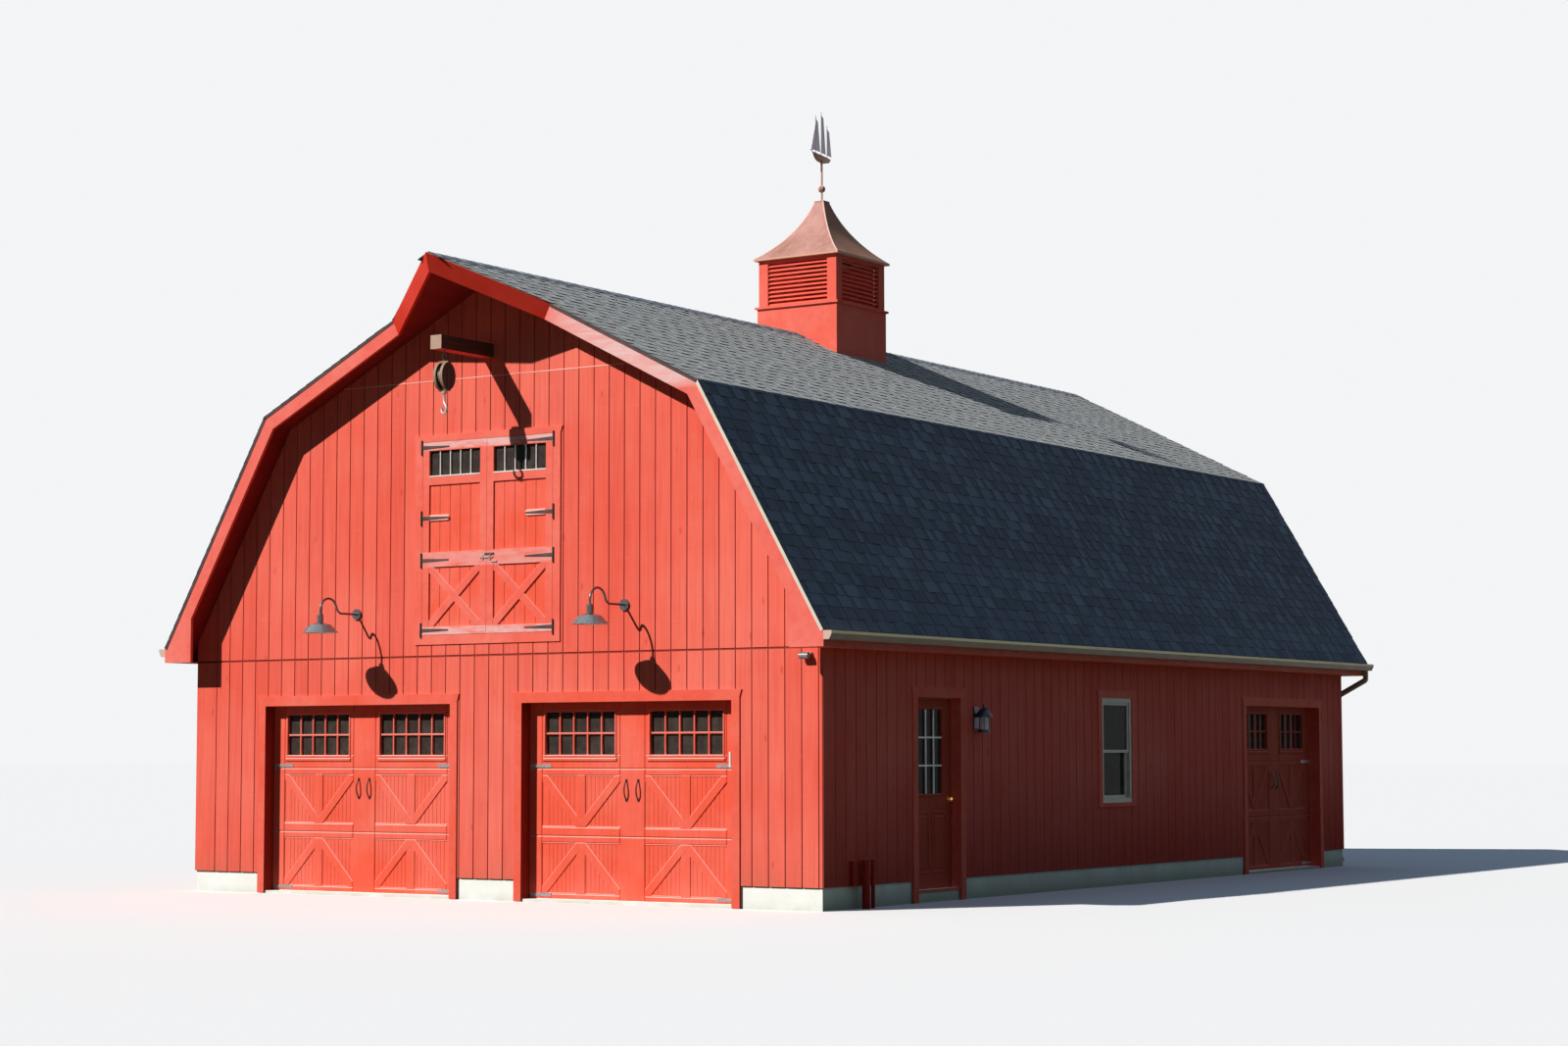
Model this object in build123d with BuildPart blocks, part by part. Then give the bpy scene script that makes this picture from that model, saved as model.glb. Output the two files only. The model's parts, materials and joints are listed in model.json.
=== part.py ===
# Red gambrel barn used as a garage, with a hay hood, a loft door, a hoist beam and a cupola.
# Millimetres. X runs along the front gable, Y from front to back, Z up from the ground.
# The origin is on the ground under the middle of the walls, and the front gable faces -Y.
import os
from math import cos, hypot, radians, sin, tan

from build123d import *

os.makedirs("parts", exist_ok=True)

# Walls, footing and floor
wall_width = 8684.0
wall_length = 13540.0
wall_thickness = 150.0
footing_height = 235.0
footing_thickness = 138.0
footing_inset = 12.0
slab_thickness = 30.0
loft_floor_top = 2860.0
loft_floor_thickness = 250.0

# Roof section, measured on top of the shingles
knee_from_eave = 1532.0
upper_rise = 0.5
lower_angle = 59.7
roof_thickness = 160.0
eave_overhang = 220.0
eave_depth = 168.296
soffit_height = 2650.0
soffit_thickness = 15.0
fascia_thickness = 22.0
front_overhang = 325.0
rear_overhang = 440.0
rake_thickness = 38.0
rake_depth = 185.0
rake_return_length = 412.0
hood_reach = 756.0
hood_half_width = 1110.0
peak_joint = 1.0
ridge_cap_width = 300.0
ridge_cap_thickness = 10.0

# Gutters and downspouts
gutter_width = 95.0
gutter_floor_width = 65.0
gutter_height = 90.0
gutter_drop = 8.0
gutter_lip_fall = 34.2
gutter_metal = 3.0
spout_width = 76.0
spout_depth = 58.0
spout_foot_width = 61.0
spout_corner = 7.25
spout_inset = 110.0
spout_standoff = 12.0
spout_outlet_drop = 130.0
spout_foot_height = 160.0

# Linings and casings round doorways and windows
lining_thickness = 20.0
casing_width = 100.0
casing_thickness = 22.0
casing_foot = 4.0
head_casing_height = 112.0
head_casing_flare = 26.0
flare_start = 0.3
flare_end = 0.8

# Sectional garage doors
garage_width = 2744.0
garage_head = 2134.0
garage_spacing = 3744.0
side_garage_width = 2400.0
side_garage_head = 2190.0
side_garage_from_front = 11490.0
leaf_thickness = 45.0
leaf_overlap = 25.0
leaf_floor_gap = 8.0
section_count = 3
section_gap = 3.0
lite_width = 930.0
lite_height = 460.0
lite_from_jamb = 210.0
lite_sill = 1570.0
side_lite_width = 740.0
side_lite_from_jamb = 240.0
side_lite_sill = 1626.0
glass_thickness = 6.0
overlay_thickness = 14.0
pull_length = 215.0
pull_offset = 78.0
pull_radius = 8.0
pull_boss_radius = 11.2
pull_height = 1200.0
pull_standoff = 58.0
pull_foot = 24.0
garage_strap_length = 290.0
garage_strap_height = 38.0
garage_strap_level = 1455.0

# Man door
man_door_width = 914.0
man_door_from_front = 2317.0
man_door_head = 2180.0
man_door_sill_top = 136.0
sill_plate_thickness = 26.0
door_gap = 5.0
latch_gap = 7.0
door_floor_gap = 7.0
stop_thickness = 12.0
stop_width = 30.0
door_lite_width = 500.0
door_lite_height = 905.0
door_lite_sill = 1148.0
hinge_pin_offset = 9.0
hinge_pin_radius = 4.0
hinge_pin_clearance = 0.2
hinge_barrel_radius = 6.5
hinge_barrel_height = 90.0
hinge_knuckle_gap = 0.5
hinge_plate_width = 32.0
hinge_plate_thickness = 2.5
hinge_margin = 200.0
knob_height = 1085.0
knob_backset = 66.0
knob_radius = 27.0
knob_reach = 62.0
knob_rose_radius = 32.0
knob_rose_thickness = 7.0
knob_neck_radius = 11.0
knob_gap = 1.0
spindle_radius = 8.0
spindle_clearance = 1.0

# Double-hung windows
window_width = 790.0
window_height = 1245.0
window_sill = 990.0
window_from_front = 6550.0
second_window_from_front = 11490.0
loft_window_sill = 3650.0
window_frame_width = 52.0
window_frame_depth = 110.0
window_frame_proud = 8.0
sash_width = 34.0
sash_thickness = 35.0
sash_setback = 7.0
meeting_rail_height = 1600.0

# Loft door
loft_opening_width = 1830.0
loft_door_rise = 35.0
loft_door_height = 2150.0
loft_gap = 4.0
loft_stile_width = 92.0
loft_board_thickness = 30.0
loft_rail_thickness = 22.0
loft_crown_height = 75.0
loft_sill_board_height = 105.0
loft_lite_drop = 100.0
loft_lite_height = 290.0
loft_mid_rail_rise = 755.0
loft_mid_rail_width = 165.0
strap_length = 390.0
strap_height = 42.0
strap_tip_height = 14.0
strap_thickness = 5.0
strap_barrel_radius = 9.0
strap_barrel_height = 165.0
strap_sill_rise = 55.0
strap_rail_rise = 75.0
strap_board_rise = 545.0
strap_head_drop = 60.0
slide_bolt_length = 130.0
slide_bolt_height = 20.0
slide_bolt_offset = 43.3

# Hoist
beam_size = 150.0
beam_reach = 900.0
beam_drop = 1025.0
eye_setback = 145.0
eye_bar_radius = 8.0
eye_ring_radius = 26.0
eye_drop = 62.0
block_width = 230.0
block_height = 300.0
cheek_thickness = 36.0
block_mouth = 52.0
block_strap = 8.0
block_strap_width = 34.0
bridge_depth = 46.0
bridge_height = 24.0
sheave_radius = 95.0
sheave_thickness = 38.0
sheave_groove = 13.0
axle_radius = 9.0
pin_clearance = 1.0
shackle_bar_radius = 7.0
shackle_length = 45.0
hook_bar_radius = 14.0
hook_throat_radius = 50.0
hook_throat_turn = 50.0
hook_turn = -110.0
hook_drop = 205.0
hook_collar_radius = 26.0
hook_collar_height = 28.0
hook_head_radius = 21.0
hook_head_height = 14.0

# Barn lights on the gable
lamp_height = 3155.0
lamp_reach = 620.0
lamp_crest_radius = 135.0
lamp_rise_radius = 90.0
lamp_rise_start = 270.0
lamp_rise_turn = 73.2
lamp_tube_radius = 13.0
lamp_plate_radius = 62.0
lamp_plate_thickness = 26.0
shade_neck_radius = 34.0
shade_crown_radius = 23.8
shade_neck_drop = 15.0
shade_neck_length = 100.0
shade_shoulder_radius = 118.0
shade_shoulder_drop = 22.0
shade_rim_radius = 204.0
shade_rim_drop = 112.0
shade_metal = 5.0
bulb_radius = 34.0
bulb_drop = 55.0

# Wall lantern by the man door, and the small floodlight on the front corner
lantern_from_front = 3130.0
lantern_reach = 112.0
lantern_plate_width = 110.0
lantern_plate_drop = 148.0
lantern_plate_length = 240.0
lantern_plate_thickness = 18.0
lantern_arm_height = 1998.0
lantern_hood_radius = 92.0
lantern_dome_radius = 69.0
lantern_dome_rise = 59.8
lantern_hood_drop = 23.0
lantern_hood_height = 105.0
lantern_finial_height = 38.0
lantern_glass_radius = 56.0
lantern_glass_height = 137.0
lantern_foot_height = 32.0
lantern_foot_radius = 66.5
lantern_cage_bars = 6
lantern_bar_radius = 3.5
floodlight_x = 4188.0
floodlight_height = 2605.0
floodlight_head_radius = 34.0
floodlight_head_back = 35.0
floodlight_head_front = 70.0
floodlight_plate = 88.0

# Two standpipes beside the front corner
standpipe_from_front = (665.0, 800.0)
standpipe_radii = (42.0, 21.0)
standpipe_heights = (500.0, 500.0)
standpipe_box_from_front = (487.0, 640.0)
standpipe_box_depth = 55.0
standpipe_box_top = 490.0
standpipe_standoff = 100.0
standpipe_clip_height = 300.0

# Cupola, finial and weathervane
cupola_from_front = 6850.0
cupola_side = 1212.0
cupola_ledge_rise = 357.0
cupola_ledge_thickness = 28.0
cupola_ledge_proud = 26.0
cupola_wall = 30.0
louvre_box_side = 1184.0
louvre_post = 138.0
louvre_opening_height = 560.0
louvre_head_board = 45.0
louvre_count = 10
louvre_blade = 9.0
louvre_depth = 66.0
louvre_tilt = 40.0
cupola_eave_side = 1290.0
copper_edge = 26.0
copper_rise = 800.0
copper_cap_side = 150.0
copper_cap_thickness = 20.0
copper_sag = 75.0
copper_shell = 24.0
copper_hatch = 800.0
finial_radius = 7.0
ball_rise = 185.0
ball_radius = 48.0
vane_rise = 360.0
vane_length = 610.0
vane_heading = 9.2
vane_sleeve_radius = 15.0
vane_sleeve_length = 130.0
hull_height = 85.0
hull_width = 84.0
hull_sheer = 17.0
hull_bow_rise = 21.25
hull_stern_rise = 17.0
hull_stern_reach = 183.0
mast_radius = 5.0
mast_places = (190.0, 10.0, -180.0)
mast_heights = (490.0, 571.0, 425.0)
sail_width = 145.0
sail_gap = 35.0
sail_thickness = 4.0
bowsprit_length = 120.0
bowsprit_rise = 20.0
jib_reach = 40.0
jib_rise = 15.0

# Places worked out from the sizes above
half_width = wall_width / 2
half_length = wall_length / 2
lower_rise = tan(radians(lower_angle))
eave_reach = half_width + eave_overhang
eave_top = soffit_height + eave_depth
knee_reach = eave_reach - knee_from_eave
knee_height = eave_top + lower_rise * knee_from_eave
ridge_height = knee_height + upper_rise * knee_reach
rake_return_reach = eave_reach - rake_return_length
upper_cosine = 1 / hypot(1, upper_rise)
upper_sine = upper_rise * upper_cosine
front_face = -half_length
rake_front = front_face - front_overhang
rake_rear = half_length + rear_overhang
roof_front = rake_front + rake_thickness
roof_rear = rake_rear - rake_thickness
roof_run = roof_rear - roof_front
inner_width = half_width - wall_thickness
inner_front = front_face + wall_thickness
inner_rear = half_length - wall_thickness
pier_top = garage_head + lining_thickness
loft_door_sill = loft_floor_top + loft_door_rise
loft_door_head = loft_door_sill + loft_door_height
loft_lite_top = loft_door_head - loft_lite_drop
loft_mid_rail_low = loft_door_sill + loft_mid_rail_rise
loft_mid_rail_high = loft_mid_rail_low + loft_mid_rail_width
beam_underside = ridge_height - beam_drop
cupola_ledge_height = ridge_height + cupola_ledge_rise
louvre_head_height = cupola_ledge_height + cupola_ledge_thickness + louvre_opening_height
cupola_eave_height = louvre_head_height + louvre_head_board
copper_top = cupola_eave_height + copper_rise
ball_height = copper_top + ball_rise
vane_height = ball_height + vane_rise
shade_neck_top = lamp_height - shade_neck_drop
shade_neck_base = shade_neck_top - shade_neck_length
shade_shoulder = (lamp_reach + shade_shoulder_radius, shade_neck_base - shade_shoulder_drop)
shade_rim = (lamp_reach + shade_rim_radius, shade_neck_base - shade_rim_drop)
bulb_height = shade_neck_base - bulb_drop
lantern_plate_low = lantern_arm_height - lantern_plate_drop
lantern_plate_high = lantern_plate_low + lantern_plate_length
lantern_hood_base = lantern_arm_height - lantern_hood_drop
lantern_hood_top = lantern_hood_base + lantern_hood_height
lantern_finial_top = lantern_hood_top + lantern_finial_height
lantern_glass_base = lantern_hood_base - lantern_glass_height
lantern_foot_base = lantern_glass_base - lantern_foot_height
strap_heights = (
    loft_door_sill + strap_sill_rise,
    loft_mid_rail_low + strap_rail_rise,
    loft_mid_rail_low + strap_board_rise,
    loft_door_head - strap_head_drop,
)


def from_front(distance):
    return front_face + distance


# Section lines of the roof at a depth measured square to the shingles
def roof_top(x):
    if abs(x) <= knee_reach:
        return ridge_height - upper_rise * abs(x)
    return knee_height - lower_rise * (abs(x) - knee_reach)


def upper_drop(depth):
    return depth * hypot(1, upper_rise)


def lower_drop(depth):
    return depth * hypot(1, lower_rise)


def knee_point(depth):
    inward = (lower_drop(depth) - upper_drop(depth)) / (lower_rise - upper_rise)
    return knee_reach - inward, knee_height + upper_rise * inward - upper_drop(depth)


def lower_line(x, depth):
    return roof_top(x) - lower_drop(depth)


def lower_reach(height, depth):
    return knee_reach + (knee_height - lower_drop(depth) - height) / lower_rise


# Small helpers for placing the pieces
def outline(plane, points):
    with BuildSketch(plane) as shape:
        with BuildLine():
            Polyline(*points, close=True)
        make_face()
    return shape.sketch


def prism(points, start, end):
    """Extrude an X-Z outline along Y between two places."""
    extrude(outline(Plane.XZ.offset(-end), points), amount=end - start)


def mirrored(points):
    return [(-x, z) for x, z in points]


def block(x_span, y_span, z_span, mode=Mode.ADD):
    spans = (x_span, y_span, z_span)
    with Locations(tuple(sum(span) / 2 for span in spans)):
        Box(*(max(span) - min(span) for span in spans), mode=mode)


def wall_plane(face, along, out=0.0):
    """Plane on a wall face, with x to the right seen from outside, y up and z out of the wall."""
    planes = {
        "front": Plane((along, front_face - out, 0), x_dir=(1, 0, 0), z_dir=(0, -1, 0)),
        "back": Plane((along, half_length + out, 0), x_dir=(-1, 0, 0), z_dir=(0, 1, 0)),
        "right": Plane((half_width + out, along, 0), x_dir=(0, 1, 0), z_dir=(1, 0, 0)),
        "left": Plane((-half_width - out, along, 0), x_dir=(0, -1, 0), z_dir=(-1, 0, 0)),
    }
    return planes[face]


def panel(plane, width, low, high, thickness, centre=0.0, mode=Mode.ADD):
    """Rectangular plate standing on a wall plane and growing outward from it."""
    half = width / 2
    corners = [(centre - half, low), (centre + half, low), (centre + half, high), (centre - half, high)]
    extrude(outline(plane, corners), amount=thickness, mode=mode)


def rod(start, end, radius):
    """Round bar between two points."""
    axis = Vector(*end) - Vector(*start)
    with BuildSketch(Plane(start, z_dir=axis), mode=Mode.PRIVATE) as section:
        Circle(radius)
    extrude(section.sketch, amount=axis.length)


def save(piece, name):
    piece.part.label = name
    export_step(piece.part, f"parts/{name}.step")


garage_doorways = [("front", side * garage_spacing / 2, garage_width, garage_head) for side in (-1, 1)]
garage_doorways.append(("right", from_front(side_garage_from_front), side_garage_width, side_garage_head))
front_doorway_edge = garage_width / 2 + lining_thickness
side_doorway_edge = side_garage_width / 2 + lining_thickness
man_doorway_edge = man_door_width / 2 + lining_thickness
man_door_middle = from_front(man_door_from_front)
side_garage_middle = from_front(side_garage_from_front)
windows = [
    ("right", from_front(window_from_front), window_sill),
    ("left", from_front(window_from_front), window_sill),
    ("left", from_front(second_window_from_front), window_sill),
    ("back", 0.0, loft_window_sill),
]

# Concrete footing under the long walls, with a low kerb under the man door
footing_out = half_width - footing_inset
footing_in = footing_out - footing_thickness
footing_end = half_length - footing_inset
kerb_height = man_door_sill_top - sill_plate_thickness
with BuildPart() as footing_side_walls:
    block((-footing_out, -footing_in), (-footing_end, footing_end), (0, footing_height))
    block((footing_in, footing_out), (-footing_end, side_garage_middle - side_doorway_edge), (0, footing_height))
    block((footing_in, footing_out), (side_garage_middle + side_doorway_edge, footing_end), (0, footing_height))
    man_door_span = (man_door_middle - man_doorway_edge, man_door_middle + man_doorway_edge)
    block((footing_in, footing_out), man_door_span, (kerb_height, footing_height), Mode.SUBTRACT)
save(footing_side_walls, "footing_side_walls")

# Footing blocks between the front doorways, and the footing under the back wall
pier_spans = [
    (-footing_in, -garage_spacing / 2 - front_doorway_edge),
    (-garage_spacing / 2 + front_doorway_edge, garage_spacing / 2 - front_doorway_edge),
    (garage_spacing / 2 + front_doorway_edge, footing_in),
]
with BuildPart() as footing_end_walls:
    for span in pier_spans:
        block(span, (-footing_end, -footing_end + footing_thickness), (0, footing_height))
    block((-footing_in, footing_in), (footing_end - footing_thickness, footing_end), (0, footing_height))
save(footing_end_walls, "footing_end_walls")

# Floor slab, running out through the garage doorways
with BuildPart() as floor_slab:
    block((-footing_in, footing_in), (footing_thickness - footing_end, footing_end - footing_thickness),
          (0, slab_thickness))
    for side in (-1, 1):
        middle = side * garage_spacing / 2
        block((middle - front_doorway_edge, middle + front_doorway_edge),
              (front_face, footing_thickness - footing_end), (0, slab_thickness))
    block((footing_in, half_width), (side_garage_middle - side_doorway_edge, side_garage_middle + side_doorway_edge),
          (0, slab_thickness))
save(floor_slab, "floor_slab")

# Front wall: three piers beside the garage doorways
with BuildPart() as front_wall_piers:
    for start, end in pier_spans:
        outer_start = -half_width if start == -footing_in else start
        outer_end = half_width if end == footing_in else end
        block((outer_start, outer_end), (front_face, inner_front), (footing_height, pier_top))
save(front_wall_piers, "front_wall_piers")

# Front gable over the garage doors, cut for the loft door and the hoist beam
wall_shoulder = lower_line(half_width, roof_thickness)
gable_top = [
    (half_width, wall_shoulder),
    knee_point(roof_thickness),
    (0, ridge_height - upper_drop(roof_thickness)),
]
gable_top += mirrored(reversed(gable_top[:2]))
with BuildPart() as front_gable:
    prism([(-half_width, pier_top), (half_width, pier_top)] + gable_top, front_face, inner_front)
    block((-loft_opening_width / 2, loft_opening_width / 2), (front_face, inner_front),
          (loft_door_sill, loft_door_head), Mode.SUBTRACT)
    block((-beam_size / 2, beam_size / 2), (front_face, inner_front),
          (beam_underside, beam_underside + beam_size), Mode.SUBTRACT)
save(front_gable, "front_gable")

# Back wall with a loft window
with BuildPart() as back_wall:
    prism([(-half_width, footing_height), (half_width, footing_height)] + gable_top, inner_rear, half_length)
    block((-window_width / 2, window_width / 2), (inner_rear, half_length),
          (loft_window_sill, loft_window_sill + window_height), Mode.SUBTRACT)
save(back_wall, "back_wall")


# Long walls, with their tops cut to the slope of the roof
def long_wall_outline(side, low):
    points = [
        (half_width, low),
        (half_width, wall_shoulder),
        (inner_width, lower_line(inner_width, roof_thickness)),
        (inner_width, low),
    ]
    return [(side * x, z) for x, z in points]


def cut_window(face, along, sill):
    panel(wall_plane(face, along, out=-wall_thickness), window_width, sill, sill + window_height,
          wall_thickness, mode=Mode.SUBTRACT)


with BuildPart() as right_wall_panels:
    side_panels = [
        (inner_front, man_door_span[0]),
        (man_door_span[1], side_garage_middle - side_doorway_edge),
        (side_garage_middle + side_doorway_edge, inner_rear),
    ]
    for start, end in side_panels:
        prism(long_wall_outline(1, footing_height), start, end)
    cut_window(*windows[0])
save(right_wall_panels, "right_wall_panels")

with BuildPart() as right_wall_heads:
    prism(long_wall_outline(1, man_door_head + lining_thickness), *man_door_span)
    prism(long_wall_outline(1, side_garage_head + lining_thickness), side_panels[1][1], side_panels[2][0])
save(right_wall_heads, "right_wall_heads")

with BuildPart() as left_wall:
    prism(long_wall_outline(-1, footing_height), inner_front, inner_rear)
    for window in windows[1:3]:
        cut_window(*window)
save(left_wall, "left_wall")

# Loft floor on its joists, as one slab between the walls
with BuildPart() as loft_floor:
    block((-inner_width, inner_width), (inner_front, inner_rear),
          (loft_floor_top - loft_floor_thickness, loft_floor_top))
save(loft_floor, "loft_floor")

# Lower roof slopes, cut plumb behind the fascia and level over the soffit
soffit_top = soffit_height + soffit_thickness
fascia_back = eave_reach - fascia_thickness
lower_slope = [
    (knee_reach, knee_height),
    (fascia_back, roof_top(fascia_back)),
    (fascia_back, soffit_top),
    (lower_reach(soffit_top, roof_thickness), soffit_top),
    knee_point(roof_thickness),
]
with BuildPart() as roof_lower_slopes:
    prism(lower_slope, roof_front, roof_rear)
    prism(mirrored(lower_slope), roof_front, roof_rear)
save(roof_lower_slopes, "roof_lower_slopes")

# Upper roof slopes, meeting at the ridge
upper_slope = [
    (0, ridge_height),
    (knee_reach, knee_height),
    knee_point(roof_thickness),
    (0, ridge_height - upper_drop(roof_thickness)),
]
with BuildPart() as roof_upper_left:
    prism(mirrored(upper_slope), roof_front, roof_rear)
save(roof_upper_left, "roof_upper_left")

with BuildPart() as roof_upper_right:
    prism(upper_slope, roof_front, roof_rear)
save(roof_upper_right, "roof_upper_right")

# Hay hood: the upper slopes run on to a point, drawn on the right slope and mirrored
slope_plane = Plane((0, 0, ridge_height), x_dir=(upper_cosine, 0, -upper_sine), z_dir=(upper_sine, 0, upper_cosine))
hood_slant = hood_half_width / upper_cosine
hood_tip = rake_front - hood_reach
hood_inner_tip = hood_tip + rake_thickness * hypot(hood_slant, hood_reach) / hood_slant
hood_base = (roof_front - hood_inner_tip) * hood_slant / hood_reach
with BuildPart() as hay_hood:
    extrude(outline(slope_plane, [(0, roof_front), (0, hood_inner_tip), (hood_base, roof_front)]),
            amount=-roof_thickness)
    split(bisect_by=Plane.YZ, keep=Keep.TOP)
    mirror(about=Plane.YZ)
save(hay_hood, "hay_hood")

with BuildPart() as hood_fascia_boards:
    edge = [(0, hood_inner_tip), (0, hood_tip), (hood_slant, rake_front), (hood_slant, roof_front),
            (hood_base, roof_front)]
    extrude(outline(slope_plane, edge), amount=-rake_depth)
    split(bisect_by=Plane.YZ.offset(peak_joint / 2), keep=Keep.TOP)
    mirror(about=Plane.YZ)
save(hood_fascia_boards, "hood_fascia_boards")


# Rake boards up the gables, each ending in a level return that closes the eave
def rake_outline(start, start_low):
    return [
        start,
        (knee_reach, knee_height),
        (eave_reach, roof_top(eave_reach)),
        (eave_reach, soffit_height),
        (rake_return_reach, soffit_height),
        (rake_return_reach, lower_line(rake_return_reach, rake_depth)),
        knee_point(rake_depth),
        start_low,
    ]


hood_joint = (hood_half_width, roof_top(hood_half_width))
hood_joint_low = (hood_joint[0] - rake_depth * upper_sine, hood_joint[1] - rake_depth * upper_cosine)
peak = (peak_joint / 2, roof_top(peak_joint / 2))
peak_low = (peak[0], peak[1] - upper_drop(rake_depth))
with BuildPart() as rake_boards:
    front_rake = rake_outline(hood_joint, hood_joint_low)
    rear_rake = rake_outline(peak, peak_low)
    for points, start, end in ((front_rake, rake_front, roof_front), (rear_rake, roof_rear, rake_rear)):
        prism(points, start, end)
        prism(mirrored(points), start, end)
save(rake_boards, "rake_boards")

# Ridge cap in front of and behind the cupola: a left and a right flap that meet on the ridge
cap_half = ridge_cap_width / 2
cap_rise = upper_drop(ridge_cap_thickness)
cap_outline = [
    (0, ridge_height),
    (cap_half, roof_top(cap_half)),
    (cap_half, roof_top(cap_half) + cap_rise),
    (0, ridge_height + cap_rise),
]
cupola_middle = from_front(cupola_from_front)
cap_front = hood_tip + (cap_half + rake_thickness) * hood_reach / hood_half_width
for word, points in (("right", cap_outline), ("left", mirrored(cap_outline))):
    with BuildPart() as ridge_flap:
        prism(points, cap_front, cupola_middle - cupola_side / 2)
        prism(points, cupola_middle + cupola_side / 2, rake_rear)
    save(ridge_flap, f"ridge_cap_{word}")

# Eave fascias, and the soffits behind them
eave_span = (roof_front, roof_rear)
with BuildPart() as eave_fascias:
    block((fascia_back, eave_reach), eave_span, (soffit_height, roof_top(eave_reach)))
    block((-fascia_back, -eave_reach), eave_span, (soffit_height, roof_top(eave_reach)))
save(eave_fascias, "eave_fascias")

with BuildPart() as eave_soffits:
    block((half_width, fascia_back), eave_span, (soffit_height, soffit_top))
    block((-half_width, -fascia_back), eave_span, (soffit_height, soffit_top))
save(eave_soffits, "eave_soffits")

# Gutters with closed ends, and downspouts round the back corners
gutter_top = roof_top(eave_reach) - gutter_drop
gutter_floor = gutter_top - gutter_height


def trough(inset, top):
    low = gutter_floor + inset
    return [
        (eave_reach + inset, top),
        (eave_reach + inset, low),
        (eave_reach + gutter_floor_width - inset, low),
        (eave_reach + gutter_width - inset, gutter_top - gutter_lip_fall),
        (eave_reach + gutter_width - inset, top),
    ]


spout_y = roof_rear - spout_inset
spout_x = eave_reach + gutter_floor_width / 2
spout_wall_x = half_width - spout_inset
spout_wall_y = half_length + spout_standoff + spout_depth / 2
spout_turn = gutter_floor - spout_outlet_drop
spout_wall_turn = spout_turn - (spout_y - spout_wall_y)
spout_route = [
    (spout_x, spout_y, gutter_floor),
    (spout_x, spout_y, spout_turn),
    (spout_wall_x, spout_wall_y, spout_wall_turn),
    (spout_wall_x, spout_wall_y, spout_foot_height),
    (spout_wall_x, spout_wall_y + spout_foot_height, spout_foot_height / 2),
]
with BuildPart() as gutters_and_downspouts:
    prism(trough(0, gutter_top), rake_front, rake_rear)
    extrude(outline(Plane.XZ.offset(gutter_metal - rake_rear), trough(gutter_metal, gutter_top)),
            amount=rake_rear - rake_front - 2 * gutter_metal, mode=Mode.SUBTRACT)
    with BuildLine() as spout_line:
        FilletPolyline(*spout_route, radius=spout_width / 2)
    with BuildSketch(Plane(spout_route[0], x_dir=(1, 0, 0), z_dir=(0, 0, -1))):
        RectangleRounded(spout_foot_width, spout_depth, spout_corner)
    sweep(path=spout_line.line)
    mirror(about=Plane.YZ)
save(gutters_and_downspouts, "gutters_and_downspouts")


# Linings and casings of the garage doorways, with a flared head board
def casing_board(face, along, width, head, foot, thickness):
    outer = width / 2 + casing_width
    crown = head + head_casing_height
    points = [
        (-outer, foot),
        (-width / 2, foot),
        (-width / 2, head),
        (width / 2, head),
        (width / 2, foot),
        (outer, foot),
        (outer, head + head_casing_height * flare_start),
        (outer + head_casing_flare, crown),
        (-outer - head_casing_flare, crown),
        (-outer, head + head_casing_height * flare_start),
    ]
    extrude(outline(wall_plane(face, along), points), amount=thickness)


def lining(face, along, width, head, foot):
    plane = wall_plane(face, along, out=-wall_thickness)
    panel(plane, width + 2 * lining_thickness, foot, head + lining_thickness, wall_thickness)
    panel(plane, width, foot, head, wall_thickness, mode=Mode.SUBTRACT)


with BuildPart() as garage_door_frames:
    for face, along, width, head in garage_doorways:
        lining(face, along, width, head, slab_thickness)
        casing_board(face, along, width, head, casing_foot, casing_thickness)
save(garage_door_frames, "garage_door_frames")

# Man door frame: lining, stops, casing and sill plate
leaf_face = half_width - wall_thickness + leaf_thickness
with BuildPart() as man_door_frame:
    lining("right", man_door_middle, man_door_width, man_door_head, man_door_sill_top)
    casing_board("right", man_door_middle, man_door_width, man_door_head, casing_foot, casing_thickness)
    stop_plane = wall_plane("right", man_door_middle, out=leaf_face + door_gap - half_width)
    panel(stop_plane, man_door_width, man_door_sill_top, man_door_head, stop_width)
    panel(stop_plane, man_door_width - 2 * stop_thickness, man_door_sill_top, man_door_head - stop_thickness,
          stop_width, mode=Mode.SUBTRACT)
    block((half_width - wall_thickness, half_width), man_door_span, (kerb_height, man_door_sill_top))
save(man_door_frame, "man_door_frame")

# Window casings and the loft door casing
with BuildPart() as window_casings:
    for face, along, sill in windows:
        plane = wall_plane(face, along)
        half = window_width / 2
        head = sill + window_height
        board = [
            (-half - casing_width, sill - casing_width / 2),
            (half + casing_width, sill - casing_width / 2),
            (half + casing_width, head + head_casing_height * flare_start),
            (half + casing_width + head_casing_flare, head + head_casing_height * flare_end),
            (-half - casing_width - head_casing_flare, head + head_casing_height * flare_end),
            (-half - casing_width, head + head_casing_height * flare_start),
        ]
        extrude(outline(plane, board), amount=casing_thickness)
        panel(plane, window_width, sill, head, casing_thickness, mode=Mode.SUBTRACT)
save(window_casings, "window_casings")

loft_plane = wall_plane("front", 0.0)
with BuildPart() as loft_door_casing:
    outer = loft_opening_width / 2 + casing_width
    crown = loft_door_head + loft_crown_height
    board = [
        (-outer, loft_door_sill - loft_sill_board_height),
        (outer, loft_door_sill - loft_sill_board_height),
        (outer, loft_door_head),
        (outer + head_casing_flare, crown),
        (-outer - head_casing_flare, crown),
        (-outer, loft_door_head),
    ]
    extrude(outline(loft_plane, board), amount=casing_thickness)
    panel(loft_plane, loft_opening_width, loft_door_sill, loft_door_head, casing_thickness, mode=Mode.SUBTRACT)
save(loft_door_casing, "loft_door_casing")

# Sectional garage doors, closed against the back of their linings
leaf_low = slab_thickness + leaf_floor_gap


def garage_lites(width, lite, margin):
    return [side * (width / 2 - margin - lite / 2) for side in (-1, 1)]


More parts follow.
